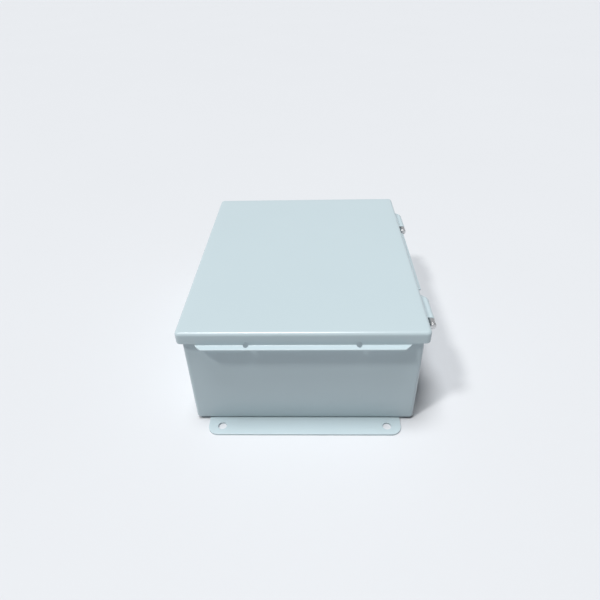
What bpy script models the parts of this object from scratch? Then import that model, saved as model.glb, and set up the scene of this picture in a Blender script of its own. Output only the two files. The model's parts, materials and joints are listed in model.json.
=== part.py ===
"""Hinged steel junction box, lying on its back with the lid on top.

Units are metres, +Z is up, and the box stands on its two mounting feet at z = 0.
X runs across the box towards the hinges, Y runs along it. The origin is on the
mounting plane, under the middle of the whole assembly.

Every piece is its own object. The lid and what is fixed to it hang from an empty
on the hinge axis, so turning that empty about Y opens the box.
"""

from math import atan2, cos, hypot, pi, radians, sin

import bmesh
import bpy
from mathutils import Vector

MM = 0.001

# Fits that several pieces share
TOUCH_GAP = 0.3 * MM          # between pieces that rest on each other
RUNNING_CLEARANCE = 0.1 * MM  # radial, between a hinge pin and its knuckles
THREAD_CLEARANCE = 0.2 * MM   # radial, between a stud and what slips over it

# Body: a welded sheet-steel tray with a lip turned in around its mouth
BODY_WIDTH = 203.2 * MM
BODY_LENGTH = 254.0 * MM
RIM_HEIGHT = 101.6 * MM       # mounting plane to the sealing rim
BODY_SHEET = 1.9 * MM
BODY_CORNER_RADIUS = 3.5 * MM
BODY_BASE_RADIUS = 2.5 * MM
RIM_BEND_RADIUS = 2.2 * MM
RIM_LIP = 9.5 * MM
RIM_MOUTH_RADIUS = 4.0 * MM

# Mounting feet: one strip welded across the back at each end
FOOT_SHEET = 1.9 * MM
FOOT_END_INSET = 12.7 * MM    # foot end to body side
FOOT_REACH = 19.05 * MM       # beyond the body's end wall
FOOT_TUCK = 22.0 * MM         # under the body
FOOT_CORNER_RADIUS = 9.5 * MM
FOOT_HOLE_DIAMETER = 7.9 * MM
FOOT_HOLE_END = 12.7 * MM     # hole centre to foot end
FOOT_HOLE_SETBACK = 9.525 * MM  # hole centre to the body's end wall

# Lid: a shallow tray whose skirt hangs around the outside of the rim
LID_SHEET = 1.5 * MM
LID_CLEARANCE = 2.5 * MM      # body wall to the skirt's inner face
LID_SKIRT = 11.2 * MM
LID_EDGE_RADIUS = 3.0 * MM
LID_CORNER_RADIUS = 4.5 * MM

# Flanges: the skirt turns outwards along both ends and between the hinges
FLANGE_END_INSET = 15.6 * MM  # flange root end to the lid's side
FLANGE_REACH = 5.8 * MM
FLANGE_DROP = 1.2 * MM        # flange face below the plain skirt edge
FLANGE_BEND_RADIUS = 0.8 * MM
FLANGE_HOLE_INSET = 43.1 * MM  # hole centre to flange root end
FLANGE_HOLE_DIAMETER = 4.6 * MM  # drilled through the bend at 45 degrees
FLANGE_HINGE_GAP = 2.0 * MM   # flange root end to the hinge beside it

# Gasket: a flat rubber frame in the lid, pressed on the rim
GASKET_THICKNESS = 4.5 * MM
GASKET_WIDTH = 10.0 * MM
GASKET_EDGE_INSET = 0.3 * MM

# Hinges: two identical lift-off hinges on the +X side
HINGE_SHEET = 1.2 * MM
HINGE_PIN_RADIUS = 2.0 * MM
HINGE_AIR = 3.5 * MM          # lid side to the outside of the knuckles
HINGE_FRONT_DISTANCE = 23.5 * MM  # hinge to the body's near end
HINGE_REAR_DISTANCE = 11.1 * MM  # hinge to the body's far end
HINGE_BODY_KNUCKLE = 7.2 * MM
HINGE_LID_KNUCKLE = 28.0 * MM
HINGE_KNUCKLE_GAP = 0.6 * MM
HINGE_LEAF_HEIGHT = 26.0 * MM
HINGE_LEAF_BEND = 1.6 * MM
HINGE_LEAF_OVERLAP = 1.2 * MM  # lid leaf, inboard of the skirt
HINGE_ROLL = radians(292)     # how far a knuckle wraps round its pin
PIN_HEAD_RADIUS = 3.0 * MM
PIN_HEAD_THICKNESS = 1.4 * MM
PIN_TIP_CHAMFER = 0.6 * MM
PIN_TIP_RECESS = 1.0 * MM     # pin end inside the lid knuckle

# Back panel on four collar studs
PANEL_SHEET = 1.9 * MM
PANEL_SIDE_MARGIN = 12.2 * MM
PANEL_CORNER_RADIUS = 6.0 * MM
PANEL_HOLE_INSET = 12.0 * MM
COLLAR_RADIUS = 5.0 * MM
COLLAR_HEIGHT = 9.5 * MM
STUD_RADIUS = 3.0 * MM
STUD_LENGTH = 22.0 * MM
STUD_CHAMFER = 0.6 * MM
WASHER_RADIUS = 6.0 * MM
WASHER_THICKNESS = 1.2 * MM
NUT_ACROSS_FLATS = 11.0 * MM
NUT_HEIGHT = 5.2 * MM

# Earth studs, one in the body and a smaller one in the lid
GROUND_STUD_LENGTH = 18.0 * MM
GROUND_STUD_SIDE_INSET = 30.0 * MM
GROUND_CLEARANCE = 1.0 * MM   # washer to the wall and to the panel
BOND_STUD_RADIUS = 2.4 * MM
BOND_STUD_LENGTH = 12.0 * MM
BOND_WASHER_RADIUS = 5.0 * MM
BOND_NUT_ACROSS_FLATS = 8.0 * MM
BOND_NUT_HEIGHT = 4.0 * MM
BOND_STUD_INSET = 30.0 * MM   # stud to the inside of the rim lip, both ways

# Facets
CORNER_STEPS = 5              # per quarter of a corner in plan
BEND_STEPS = 3                # per quarter of a sheet bend
FOOT_CORNER_STEPS = 8
ROUND_STEPS = 24              # around a stud, washer or hole
KNUCKLE_STEPS = 20
SMOOTH_ANGLE = radians(35)

# Places that follow from the sizes
BODY_FLOOR = FOOT_SHEET + TOUCH_GAP
PANEL_END_MARGIN = 2 * (WASHER_RADIUS + GROUND_CLEARANCE)
LID_TOP = RIM_HEIGHT + GASKET_THICKNESS + 2 * TOUCH_GAP + LID_SHEET
LID_UNDERSIDE = LID_TOP - LID_SHEET
SKIRT_EDGE = LID_TOP - LID_SKIRT
LID_HALF_WIDTH = BODY_WIDTH / 2 + LID_CLEARANCE + LID_SHEET
LID_HALF_LENGTH = BODY_LENGTH / 2 + LID_CLEARANCE + LID_SHEET
KNUCKLE_BORE = HINGE_PIN_RADIUS + RUNNING_CLEARANCE
KNUCKLE_RADIUS = KNUCKLE_BORE + HINGE_SHEET
HINGE_X = LID_HALF_WIDTH + HINGE_AIR + KNUCKLE_RADIUS
HINGE_Z = SKIRT_EDGE - TOUCH_GAP - KNUCKLE_RADIUS
HINGE_REACH = HINGE_X + KNUCKLE_RADIUS
HINGE_LENGTH = HINGE_BODY_KNUCKLE + HINGE_KNUCKLE_GAP + HINGE_LID_KNUCKLE
LEAF_CHAMFER = HINGE_REACH - LID_HALF_WIDTH
ORIGIN_OFFSET = (HINGE_REACH - LID_HALF_WIDTH) / 2
FRONT_HINGE_Y = HINGE_FRONT_DISTANCE - BODY_LENGTH / 2
REAR_HINGE_Y = BODY_LENGTH / 2 - HINGE_REAR_DISTANCE - HINGE_LENGTH - LEAF_CHAMFER


# ---------------------------------------------------------------- materials

def paint(name, color, roughness, metallic=0.0):
    """A Principled material with one colour, roughness and metallic value."""
    material = bpy.data.materials.new(name)
    material.use_nodes = True
    shader = material.node_tree.nodes["Principled BSDF"]
    shader.inputs["Base Color"].default_value = (*color, 1.0)
    shader.inputs["Roughness"].default_value = roughness
    shader.inputs["Metallic"].default_value = metallic
    return material


# ---------------------------------------------------------------- mesh helpers

def finish(name, bm, material, parent, location=(0.0, 0.0, 0.0)):
    """Turn a bmesh into a smooth-shaded object under its parent."""
    bmesh.ops.recalc_face_normals(bm, faces=bm.faces)
    mesh = bpy.data.meshes.new(name)
    bm.to_mesh(mesh)
    bm.free()
    mesh.shade_smooth()
    mesh.set_sharp_from_angle(angle=SMOOTH_ANGLE)
    mesh.materials.append(material)
    obj = bpy.data.objects.new(name, mesh)
    bpy.context.scene.collection.objects.link(obj)
    obj.parent = parent
    obj.location = location
    return obj


def rounded_rectangle(half_x, half_y, radius, steps=CORNER_STEPS):
    """Points of a rectangle with round corners, counter-clockwise from +X."""
    points = []
    for quarter in range(4):
        side_x = 1 if quarter in (0, 3) else -1
        side_y = 1 if quarter in (0, 1) else -1
        for step in range(steps + 1):
            angle = (quarter + step / steps) * pi / 2
            x = side_x * (half_x - radius) + radius * cos(angle)
            y = side_y * (half_y - radius) + radius * sin(angle)
            points.append((x, y))
    return points


def circle(radius, steps=ROUND_STEPS):
    """Points of a circle about the origin."""
    return [(radius * cos(2 * pi * i / steps), radius * sin(2 * pi * i / steps)) for i in range(steps)]


def hexagon(across_flats, steps=ROUND_STEPS):
    """Points around a hexagon, spaced at the same angles as a circle's."""
    points = []
    for i in range(steps):
        angle = 2 * pi * i / steps
        from_flat = (angle + pi / 6) % (pi / 3) - pi / 6
        reach = across_flats / 2 / cos(from_flat)
        points.append((reach * cos(angle), reach * sin(angle)))
    return points


def stack(loops, ring=False):
    """A solid whose skin joins each outline to the next.

    loops holds (outline, height) pairs with the same number of points. The ends
    are capped, or, for a ring, the last outline joins the first.
    """
    bm = bmesh.new()
    rows = [[bm.verts.new((x, y, z)) for x, y in outline] for outline, z in loops]
    pairs = list(zip(rows, rows[1:]))
    if ring:
        pairs.append((rows[-1], rows[0]))
    else:
        bm.faces.new(rows[0])
        bm.faces.new(rows[-1])
    for low, high in pairs:
        for i in range(len(low)):
            j = (i + 1) % len(low)
            bm.faces.new((low[i], low[j], high[j], high[i]))
    return bm


def arc(center, radius, start, end, steps):
    """Points on an arc, both ends included."""
    return [
        (
            center[0] + radius * cos(start + (end - start) * i / steps),
            center[1] + radius * sin(start + (end - start) * i / steps),
        )
        for i in range(steps + 1)
    ]


def bent_sheet(path, thickness, spans):
    """A sheet whose centre line is a path in the X-Z plane, wide along Y.

    spans holds the lowest and highest Y at each point of the path.
    """
    bm = bmesh.new()
    rows = []
    for i, (x, z) in enumerate(path):
        before = path[max(i - 1, 0)]
        after = path[min(i + 1, len(path) - 1)]
        run = atan2(after[1] - before[1], after[0] - before[0])
        miter = 1.0
        if 0 < i < len(path) - 1:
            first = (x - before[0], z - before[1])
            turn = (first[0] * cos(run) + first[1] * sin(run)) / hypot(*first)
            miter = 1.0 / turn
        side = (-sin(run) * thickness / 2 * miter, cos(run) * thickness / 2 * miter)
        low, high = spans[i]
        rows.append([
            bm.verts.new((x + side[0], low, z + side[1])),
            bm.verts.new((x + side[0], high, z + side[1])),
            bm.verts.new((x - side[0], high, z - side[1])),
            bm.verts.new((x - side[0], low, z - side[1])),
        ])
    for near, far in zip(rows, rows[1:]):
        for i in range(4):
            j = (i + 1) % 4
            bm.faces.new((near[i], near[j], far[j], far[i]))
    bm.faces.new(rows[0])
    bm.faces.new(rows[-1])
    return bm


def turned(profile, steps=ROUND_STEPS):
    """A solid of revolution about Z, from (radius, height) pairs."""
    return stack([(circle(radius, steps), height) for radius, height in profile])


def tool(name, bm, parent, location=(0.0, 0.0, 0.0)):
    """A hidden shape that only shapes another piece."""
    obj = finish(name, bm, GUIDE, parent, location)
    obj.hide_render = True
    obj.display_type = "WIRE"
    return obj


def combine(piece, shape, operation):
    """Cut a hidden shape from a piece, or weld it on."""
    modifier = piece.modifiers.new(shape.name, "BOOLEAN")
    modifier.solver = "EXACT"
    modifier.operation = operation
    modifier.object = shape


def drill(piece, places, diameter, low, high):
    """Round holes along Z through a piece, between two heights."""
    for number, (x, y) in enumerate(places, 1):
        bm = turned([(diameter / 2, low), (diameter / 2, high)])
        place = piece.location + Vector((x, y, 0.0))
        combine(piece, tool(f"{piece.name}_drill_{number}", bm, piece.parent, place), "DIFFERENCE")


def empty(name, parent, location):
    """An empty that carries other objects."""
    obj = bpy.data.objects.new(name, None)
    bpy.context.scene.collection.objects.link(obj)
    obj.parent = parent
    obj.location = location
    return obj


# ---------------------------------------------------------------- case

def body_outline(inset, radius=None):
    """The body's plan, drawn in from its outer faces."""
    if radius is None:
        radius = max(BODY_CORNER_RADIUS - inset, BODY_SHEET / 2)
    return rounded_rectangle(BODY_WIDTH / 2 - inset, BODY_LENGTH / 2 - inset, radius)


def make_body(origin):
    """The tray: floor, four walls and the lip turned in around the mouth."""
    floor = BODY_FLOOR
    base = arc((BODY_BASE_RADIUS, floor + BODY_BASE_RADIUS), BODY_BASE_RADIUS, -pi / 2, -pi, BEND_STEPS)
    rim_center = (RIM_BEND_RADIUS, RIM_HEIGHT - RIM_BEND_RADIUS)
    rim = arc(rim_center, RIM_BEND_RADIUS, pi, pi / 2, BEND_STEPS)
    loops = [(body_outline(inset), height) for inset, height in base + rim]
    for height in (RIM_HEIGHT, RIM_HEIGHT - BODY_SHEET):
        loops.append((body_outline(RIM_LIP, RIM_MOUTH_RADIUS), height))
    loops.append((body_outline(BODY_SHEET), RIM_HEIGHT - BODY_SHEET))
    inner_radius = BODY_BASE_RADIUS - BODY_SHEET
    loops.append((body_outline(BODY_SHEET), floor + BODY_SHEET + inner_radius))
    loops.append((body_outline(BODY_SHEET + inner_radius), floor + BODY_SHEET))
    return finish("body_shell", stack(loops), BOX_PAINT, origin)


def make_foot(name, side, origin):
    """A strip across one end, with its two outer corners rounded and two holes."""
    half = BODY_WIDTH / 2 - FOOT_END_INSET
    wall = BODY_LENGTH / 2
    outer = wall + FOOT_REACH
    center = (half - FOOT_CORNER_RADIUS, outer - FOOT_CORNER_RADIUS)
    corner = arc(center, FOOT_CORNER_RADIUS, 0, pi / 2, FOOT_CORNER_STEPS)
    outline = [(half, wall - FOOT_TUCK)] + corner
    outline += [(-x, y) for x, y in reversed(outline)]
    outline = [(side * x, side * y) for x, y in outline]
    foot = finish(name, stack([(outline, 0.0), (outline, FOOT_SHEET)]), BOX_PAINT, origin)
    hole_x = half - FOOT_HOLE_END
    hole_y = side * (wall + FOOT_HOLE_SETBACK)
    places = [(-hole_x, hole_y), (hole_x, hole_y)]
    drill(foot, places, FOOT_HOLE_DIAMETER, -FOOT_SHEET, 2 * FOOT_SHEET)
    return foot


def fastener(names, place, base, parent, material, sizes):
    """A washer and a nut on a stud, from the height that the washer rests at.

    sizes holds the stud's and the washer's radius, the nut's width across flats
    and its height, and which way the stud points along Z, 1 or -1.
    """
    stud_radius, washer_radius, across_flats, nut_height, direction = sizes
    bore = circle(stud_radius + THREAD_CLEARANCE)
    nut_base = base + direction * (WASHER_THICKNESS + TOUCH_GAP)
    pieces = (
        (names[0], circle(washer_radius), WASHER_THICKNESS, base),
        (names[1], hexagon(across_flats), nut_height, nut_base),
    )
    for name, rim, thickness, seat in pieces:
        low, high = sorted((0.0, direction * thickness))
        bm = stack([(rim, low), (rim, high), (bore, high), (bore, low)], ring=True)
        finish(name, bm, material, parent, (*place, seat))


def make_panel(origin):
    """The back panel, its collar studs, washers and nuts."""
    floor = BODY_FLOOR + BODY_SHEET + TOUCH_GAP
    seat = floor + COLLAR_HEIGHT
    half_x = BODY_WIDTH / 2 - BODY_SHEET - PANEL_SIDE_MARGIN
    half_y = BODY_LENGTH / 2 - BODY_SHEET - PANEL_END_MARGIN
    outline = rounded_rectangle(half_x, half_y, PANEL_CORNER_RADIUS)
    underside = seat + TOUCH_GAP
    top = underside + PANEL_SHEET
    panel = finish("back_panel", stack([(outline, underside), (outline, top)]), PANEL_PAINT, origin)
    stud_x = half_x - PANEL_HOLE_INSET
    stud_y = half_y - PANEL_HOLE_INSET
    places = [(-stud_x, -stud_y), (stud_x, -stud_y), (stud_x, stud_y), (-stud_x, stud_y)]
    hole = 2 * (STUD_RADIUS + THREAD_CLEARANCE)
    drill(panel, places, hole, underside - PANEL_SHEET, top + PANEL_SHEET)
    profile = [
        (COLLAR_RADIUS, 0.0),
        (COLLAR_RADIUS, COLLAR_HEIGHT),
        (STUD_RADIUS, COLLAR_HEIGHT),
        (STUD_RADIUS, STUD_LENGTH - STUD_CHAMFER),
        (STUD_RADIUS - STUD_CHAMFER, STUD_LENGTH),
    ]
    sizes = (STUD_RADIUS, WASHER_RADIUS, NUT_ACROSS_FLATS, NUT_HEIGHT, 1)
    for number, place in enumerate(places, 1):
        finish(f"panel_stud_{number}", turned(profile), ZINC, origin, (*place, floor))
        names = (f"panel_washer_{number}", f"panel_nut_{number}")
        fastener(names, place, top + TOUCH_GAP, origin, ZINC, sizes)


def make_ground(origin):
    """The earth stud on the body's floor, between the panel and the far end wall."""
    floor = BODY_FLOOR + BODY_SHEET + TOUCH_GAP
    place = (
        GROUND_STUD_SIDE_INSET - BODY_WIDTH / 2,
        BODY_LENGTH / 2 - BODY_SHEET - PANEL_END_MARGIN / 2,
    )
    foot_height = WASHER_THICKNESS
    profile = [
        (COLLAR_RADIUS, 0.0),
        (COLLAR_RADIUS, foot_height),
        (STUD_RADIUS, foot_height),
        (STUD_RADIUS, GROUND_STUD_LENGTH - STUD_CHAMFER),
        (STUD_RADIUS - STUD_CHAMFER, GROUND_STUD_LENGTH),
    ]
    finish("ground_stud", turned(profile), BRASS, origin, (*place, floor))
    sizes = (STUD_RADIUS, WASHER_RADIUS, NUT_ACROSS_FLATS, NUT_HEIGHT, 1)
    names = ("ground_washer", "ground_nut")
    fastener(names, place, floor + foot_height + TOUCH_GAP, origin, BRASS, sizes)


# ---------------------------------------------------------------- lid

def lid_outline(inset):
    """The lid's plan, drawn in from the skirt's outer faces."""
    radius = max(LID_CORNER_RADIUS - inset, LID_SHEET / 2)
    return rounded_rectangle(LID_HALF_WIDTH - inset, LID_HALF_LENGTH - inset, radius)


def flange_sheet(face, low, high, outwards):
    """One flange: the skirt's bend and the flat beyond it, with chamfered ends.

    The skirt's outer face lies at a distance face from the middle, in the direction
    outwards, and the flange runs from low to high along the other axis. Beyond the
    face it gets narrower by as much as it stands out, which makes 45 degree ends.
    """
    top = SKIRT_EDGE - FLANGE_DROP
    mid_radius = FLANGE_BEND_RADIUS + LID_SHEET / 2
    center = (face + FLANGE_BEND_RADIUS, top + FLANGE_BEND_RADIUS)
    path = [(face - LID_SHEET / 2, center[1] + LID_SHEET)]
    path += arc(center, mid_radius, pi, 3 * pi / 2, 2 * BEND_STEPS)
    path.append((face + FLANGE_REACH, top - LID_SHEET / 2))
    bm = bent_sheet(path, LID_SHEET, [(-1.0, 1.0)] * len(path))
    for vert in bm.verts:
        outward, end, height = vert.co
        cut = max(outward - face, 0.0)
        along = high - cut if end > 0 else low + cut
        if outwards.x:
            vert.co = (outwards.x * outward, along, height)
        else:
            vert.co = (along, outwards.y * outward, height)
    return bm


def flanges():
    """Name, skirt face, span and outward direction of every flange of the lid."""
    root = LID_HALF_WIDTH - FLANGE_END_INSET
    head = PIN_HEAD_THICKNESS + TOUCH_GAP + FLANGE_HINGE_GAP
    far = FRONT_HINGE_Y + HINGE_LENGTH + LEAF_CHAMFER + FLANGE_HINGE_GAP
    return (
        ("front", LID_HALF_LENGTH, -root, root, Vector((0.0, -1.0))),
        ("rear", LID_HALF_LENGTH, -root, root, Vector((0.0, 1.0))),
        ("hinge_side", LID_HALF_WIDTH, far, REAR_HINGE_Y - head, Vector((1.0, 0.0))),
    )


def make_lid(origin, pivot):
    """The lid sheet with its rounded edge, skirt and flanges."""
    center = (LID_EDGE_RADIUS, LID_TOP - LID_EDGE_RADIUS)
    outer = arc(center, LID_EDGE_RADIUS, pi / 2, pi, 2 * BEND_STEPS)
    inner_radius = LID_EDGE_RADIUS - LID_SHEET
    inner = arc(center, inner_radius, pi, pi / 2, BEND_STEPS)
    loops = [(lid_outline(inset), height) for inset, height in outer]
    loops.append((lid_outline(0.0), SKIRT_EDGE))
    loops.append((lid_outline(LID_SHEET), SKIRT_EDGE))
    loops += [(lid_outline(inset), height) for inset, height in inner]
    lid = finish("lid", stack(loops), BOX_PAINT, pivot, origin)
    hole_x = LID_HALF_WIDTH - FLANGE_END_INSET - FLANGE_HOLE_INSET
    bend = FLANGE_BEND_RADIUS * (1 - sin(pi / 4))
    hole_y = LID_HALF_LENGTH + bend
    hole_z = SKIRT_EDGE - FLANGE_DROP + bend
    reach = 2 * FLANGE_HOLE_DIAMETER
    for name, face, low, high, outwards in flanges():
        flange = tool(f"lid_flange_{name}", flange_sheet(face, low, high, outwards), pivot, origin)
        combine(lid, flange, "UNION")
    for name, side in (("front", -1), ("rear", 1)):
        for number, x in enumerate((-hole_x, hole_x), 1):
            bm = turned([(FLANGE_HOLE_DIAMETER / 2, -reach / 2), (FLANGE_HOLE_DIAMETER / 2, reach)])
            place = lid.location + Vector((x, side * hole_y, hole_z))
            drill_bit = tool(f"lid_drill_{name}_{number}", bm, pivot, place)
            drill_bit.rotation_euler = (-side * pi / 4, 0.0, 0.0)
            combine(lid, drill_bit, "DIFFERENCE")
    return lid


def make_gasket(origin, pivot):
    """The rubber frame under the lid, over the whole width of the rim."""
    outer = body_outline(GASKET_EDGE_INSET)
    inner = body_outline(GASKET_EDGE_INSET + GASKET_WIDTH, RIM_MOUTH_RADIUS)
    low = RIM_HEIGHT + TOUCH_GAP
    high = low + GASKET_THICKNESS
    bm = stack([(outer, low), (outer, high), (inner, high), (inner, low)], ring=True)
    return finish("lid_gasket", bm, RUBBER, pivot, origin)


def make_bond(origin, pivot):
    """The lid's earth stud, hanging from its underside."""
    x = BODY_WIDTH / 2 - RIM_LIP - BOND_STUD_INSET
    y = BODY_LENGTH / 2 - RIM_LIP - BOND_STUD_INSET
    place = (origin[0] + x, origin[1] + y)
    top = origin[2] + LID_UNDERSIDE - TOUCH_GAP
    collar = WASHER_THICKNESS
    profile = [
        (BOND_STUD_RADIUS - STUD_CHAMFER, -BOND_STUD_LENGTH),
        (BOND_STUD_RADIUS, STUD_CHAMFER - BOND_STUD_LENGTH),
        (BOND_STUD_RADIUS, -collar),
        (BOND_WASHER_RADIUS - STUD_CHAMFER, -collar),
        (BOND_WASHER_RADIUS - STUD_CHAMFER, 0.0),
    ]
    finish("lid_bond_stud", turned(profile), BRASS, pivot, (*place, top))
    sizes = (BOND_STUD_RADIUS, BOND_WASHER_RADIUS, BOND_NUT_ACROSS_FLATS, BOND_NUT_HEIGHT, -1)
    names = ("lid_bond_washer", "lid_bond_nut")
    fastener(names, place, top - collar - TOUCH_GAP, pivot, BRASS, sizes)


# ---------------------------------------------------------------- hinges

def knuckle_path(start):
    """The rolled centre line around the pin, from the bottom (-1) or the top (1)."""
    radius = KNUCKLE_BORE + HINGE_SHEET / 2
    first = start * pi / 2
    return arc((0.0, 0.0), radius, first, first - start * HINGE_ROLL, KNUCKLE_STEPS)


def make_body_leaf(name, start_y, axis):
    """The leaf on the body's wall, with one short knuckle at its -Y end."""
    wall = BODY_WIDTH / 2 + TOUCH_GAP + HINGE_SHEET / 2 - HINGE_X
    strap = -(KNUCKLE_BORE + HINGE_SHEET / 2)
    bend = arc((wall + HINGE_LEAF_BEND, strap - HINGE_LEAF_BEND), HINGE_LEAF_BEND, pi, pi / 2, BEND_STEPS)
    shoulder = bend[0][1] - HINGE_LEAF_BEND
    path = [(wall, shoulder - HINGE_LEAF_HEIGHT), (wall, shoulder - HINGE_SHEET / 2), (wall, shoulder)]
    spans = [(0.0, HINGE_LENGTH)] * 2 + [(0.0, HINGE_BODY_KNUCKLE)]
    knuckle = bend + knuckle_path(-1)
    path += knuckle
    spans += [(0.0, HINGE_BODY_KNUCKLE)] * len(knuckle)
    return finish(name, bent_sheet(path, HINGE_SHEET, spans), HINGE_STEEL, axis, (0.0, start_y, 0.0))


def make_lid_leaf(name, start_y, pivot):
    """The leaf under the lid's skirt and its long knuckle, chamfered at the +Y end."""
    root_x = LID_HALF_WIDTH - LID_SHEET - HINGE_LEAF_OVERLAP - HINGE_X
    side_x = LID_HALF_WIDTH - HINGE_X
    knuckle = knuckle_path(1)
    path = [(root_x, knuckle[0][1]), (side_x, knuckle[0][1])] + knuckle
    low = HINGE_BODY_KNUCKLE + HINGE_KNUCKLE_GAP
    far = HINGE_LENGTH + LEAF_CHAMFER
    bm = bent_sheet(path, HINGE_SHEET, [(low, far)] * len(path))
    for vert in bm.verts:
        if vert.co.y > low:
            vert.co.y = far - max(vert.co.x - side_x, 0.0)
    return finish(name, bm, BOX_PAINT, pivot, (0.0, start_y, 0.0))


def make_pin(name, start_y, axis):
    """A headed pin through both knuckles, its head at the -Y end."""
    tip = HINGE_LENGTH - PIN_TIP_RECESS
    neck = -TOUCH_GAP
    profile = [
        (PIN_HEAD_RADIUS - PIN_TIP_CHAMFER, neck - PIN_HEAD_THICKNESS),
        (PIN_HEAD_RADIUS, neck - PIN_HEAD_THICKNESS + PIN_TIP_CHAMFER),
        (PIN_HEAD_RADIUS, neck),
        (HINGE_PIN_RADIUS, neck),
        (HINGE_PIN_RADIUS, tip - PIN_TIP_CHAMFER),
        (HINGE_PIN_RADIUS - PIN_TIP_CHAMFER, tip),
    ]
    pin = finish(name, turned(profile), HINGE_STEEL, axis, (0.0, start_y, 0.0))
    pin.rotation_euler = (-pi / 2, 0.0, 0.0)
    return pin


# ---------------------------------------------------------------- assembly

def make_box():
    """Build every piece around the box's origin and its hinge axis."""
    origin = empty("box_origin", None, (-ORIGIN_OFFSET, 0.0, 0.0))
    axis = empty("hinge_axis", origin, (HINGE_X, 0.0, HINGE_Z))
    pivot = empty("lid_pivot", axis, (0.0, 0.0, 0.0))
    lid_origin = (-HINGE_X, 0.0, -HINGE_Z)
    make_body(origin)
    make_foot("mounting_foot_front", -1, origin)
    make_foot("mounting_foot_rear", 1, origin)
    make_panel(origin)
    make_ground(origin)
    make_lid(lid_origin, pivot)
    make_gasket(lid_origin, pivot)
    make_bond(lid_origin, pivot)
    for name, start_y in (("front", FRONT_HINGE_Y), ("rear", REAR_HINGE_Y)):
        make_body_leaf(f"hinge_body_leaf_{name}", start_y, axis)
        make_lid_leaf(f"hinge_lid_leaf_{name}", start_y, pivot)
        make_pin(f"hinge_pin_{name}", start_y, axis)


for old in list(bpy.data.objects):
    bpy.data.objects.remove(old, do_unlink=True)

BOX_PAINT = paint("box_paint", (0.55, 0.66, 0.69), 0.32)
PANEL_PAINT = paint("panel_paint", (0.82, 0.83, 0.82), 0.4)
ZINC = paint("zinc_plate", (0.62, 0.64, 0.66), 0.35, 1.0)
BRASS = paint("brass", (0.72, 0.55, 0.25), 0.35, 1.0)
HINGE_STEEL = paint("hinge_steel", (0.66, 0.67, 0.68), 0.3, 1.0)
RUBBER = paint("gasket_rubber", (0.03, 0.03, 0.032), 0.75)
GUIDE = paint("guide", (1.0, 0.5, 0.1), 0.5)

make_box()
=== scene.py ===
"""Looks of a hinged sheet-steel junction box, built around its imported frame.

Lengths are metres in the frame's own axes: X runs across the box towards the hinges,
Y runs along it, and Z is up from the mounting plane. Every new piece is a numpy
surface whose size comes from the frame, and it rides on the body it belongs to.
"""

from __future__ import annotations

import json
import logging
from dataclasses import dataclass, field
from enum import Enum
from math import pi, radians, sin, tau

import bmesh
import bpy
import numpy as np
from mathutils import Matrix, Vector

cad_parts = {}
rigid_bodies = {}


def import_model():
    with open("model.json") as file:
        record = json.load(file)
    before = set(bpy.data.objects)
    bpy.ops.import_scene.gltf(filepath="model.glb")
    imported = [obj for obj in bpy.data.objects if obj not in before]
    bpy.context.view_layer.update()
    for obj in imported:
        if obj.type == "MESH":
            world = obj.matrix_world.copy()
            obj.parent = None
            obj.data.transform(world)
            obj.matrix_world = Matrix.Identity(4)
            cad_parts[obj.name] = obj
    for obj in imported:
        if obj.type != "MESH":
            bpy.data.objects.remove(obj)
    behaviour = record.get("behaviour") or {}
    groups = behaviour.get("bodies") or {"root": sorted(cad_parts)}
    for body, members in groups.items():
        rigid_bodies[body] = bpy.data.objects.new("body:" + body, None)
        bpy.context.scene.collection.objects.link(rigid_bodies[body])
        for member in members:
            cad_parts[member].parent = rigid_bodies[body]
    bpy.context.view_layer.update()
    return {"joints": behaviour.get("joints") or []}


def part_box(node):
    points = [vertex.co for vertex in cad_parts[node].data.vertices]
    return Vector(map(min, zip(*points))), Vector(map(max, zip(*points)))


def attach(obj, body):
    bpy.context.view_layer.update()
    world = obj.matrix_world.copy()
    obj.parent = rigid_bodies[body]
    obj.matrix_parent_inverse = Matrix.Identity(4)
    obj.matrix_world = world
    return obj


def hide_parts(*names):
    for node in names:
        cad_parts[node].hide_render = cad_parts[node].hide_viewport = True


for leftover in list(bpy.data.objects):
    bpy.data.objects.remove(leftover, do_unlink=True)

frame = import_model()

MM = 0.001
LOG = logging.getLogger("junction_box")

Array = np.ndarray
Color = tuple[float, float, float]
Range = tuple[float, float]
Material = bpy.types.Material
Mesh = bpy.types.Mesh
Node = bpy.types.Node
Piece = bpy.types.Object
Socket = bpy.types.NodeSocket
Tree = bpy.types.NodeTree
Inputs = dict[str | int, object]


class Body(str, Enum):
    """The two bodies that pieces ride on."""

    CASE = "case"
    LID = "lid"


class End(Enum):
    """The two ends of the box, by the sign of Y."""

    FRONT = -1
    REAR = 1

    @property
    def word(self) -> str:
        """The end's name in a piece name."""
        return self.name.lower()


# ---------------------------------------------------------------- outlines and profiles


def full_turn(steps: int) -> Array:
    """Angles of one whole turn in equal steps, without the last."""
    return np.arange(steps) * tau / steps


def between(low: float, high: float, count: int) -> Array:
    """Evenly spaced values between two limits, with both limits left out."""
    return np.linspace(low, high, count + 2)[1:-1]


def unit(angle: Array) -> Array:
    """Unit vectors at some angles, as pairs of cosine and sine."""
    return np.stack((np.cos(angle), np.sin(angle)), axis=1)


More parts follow.
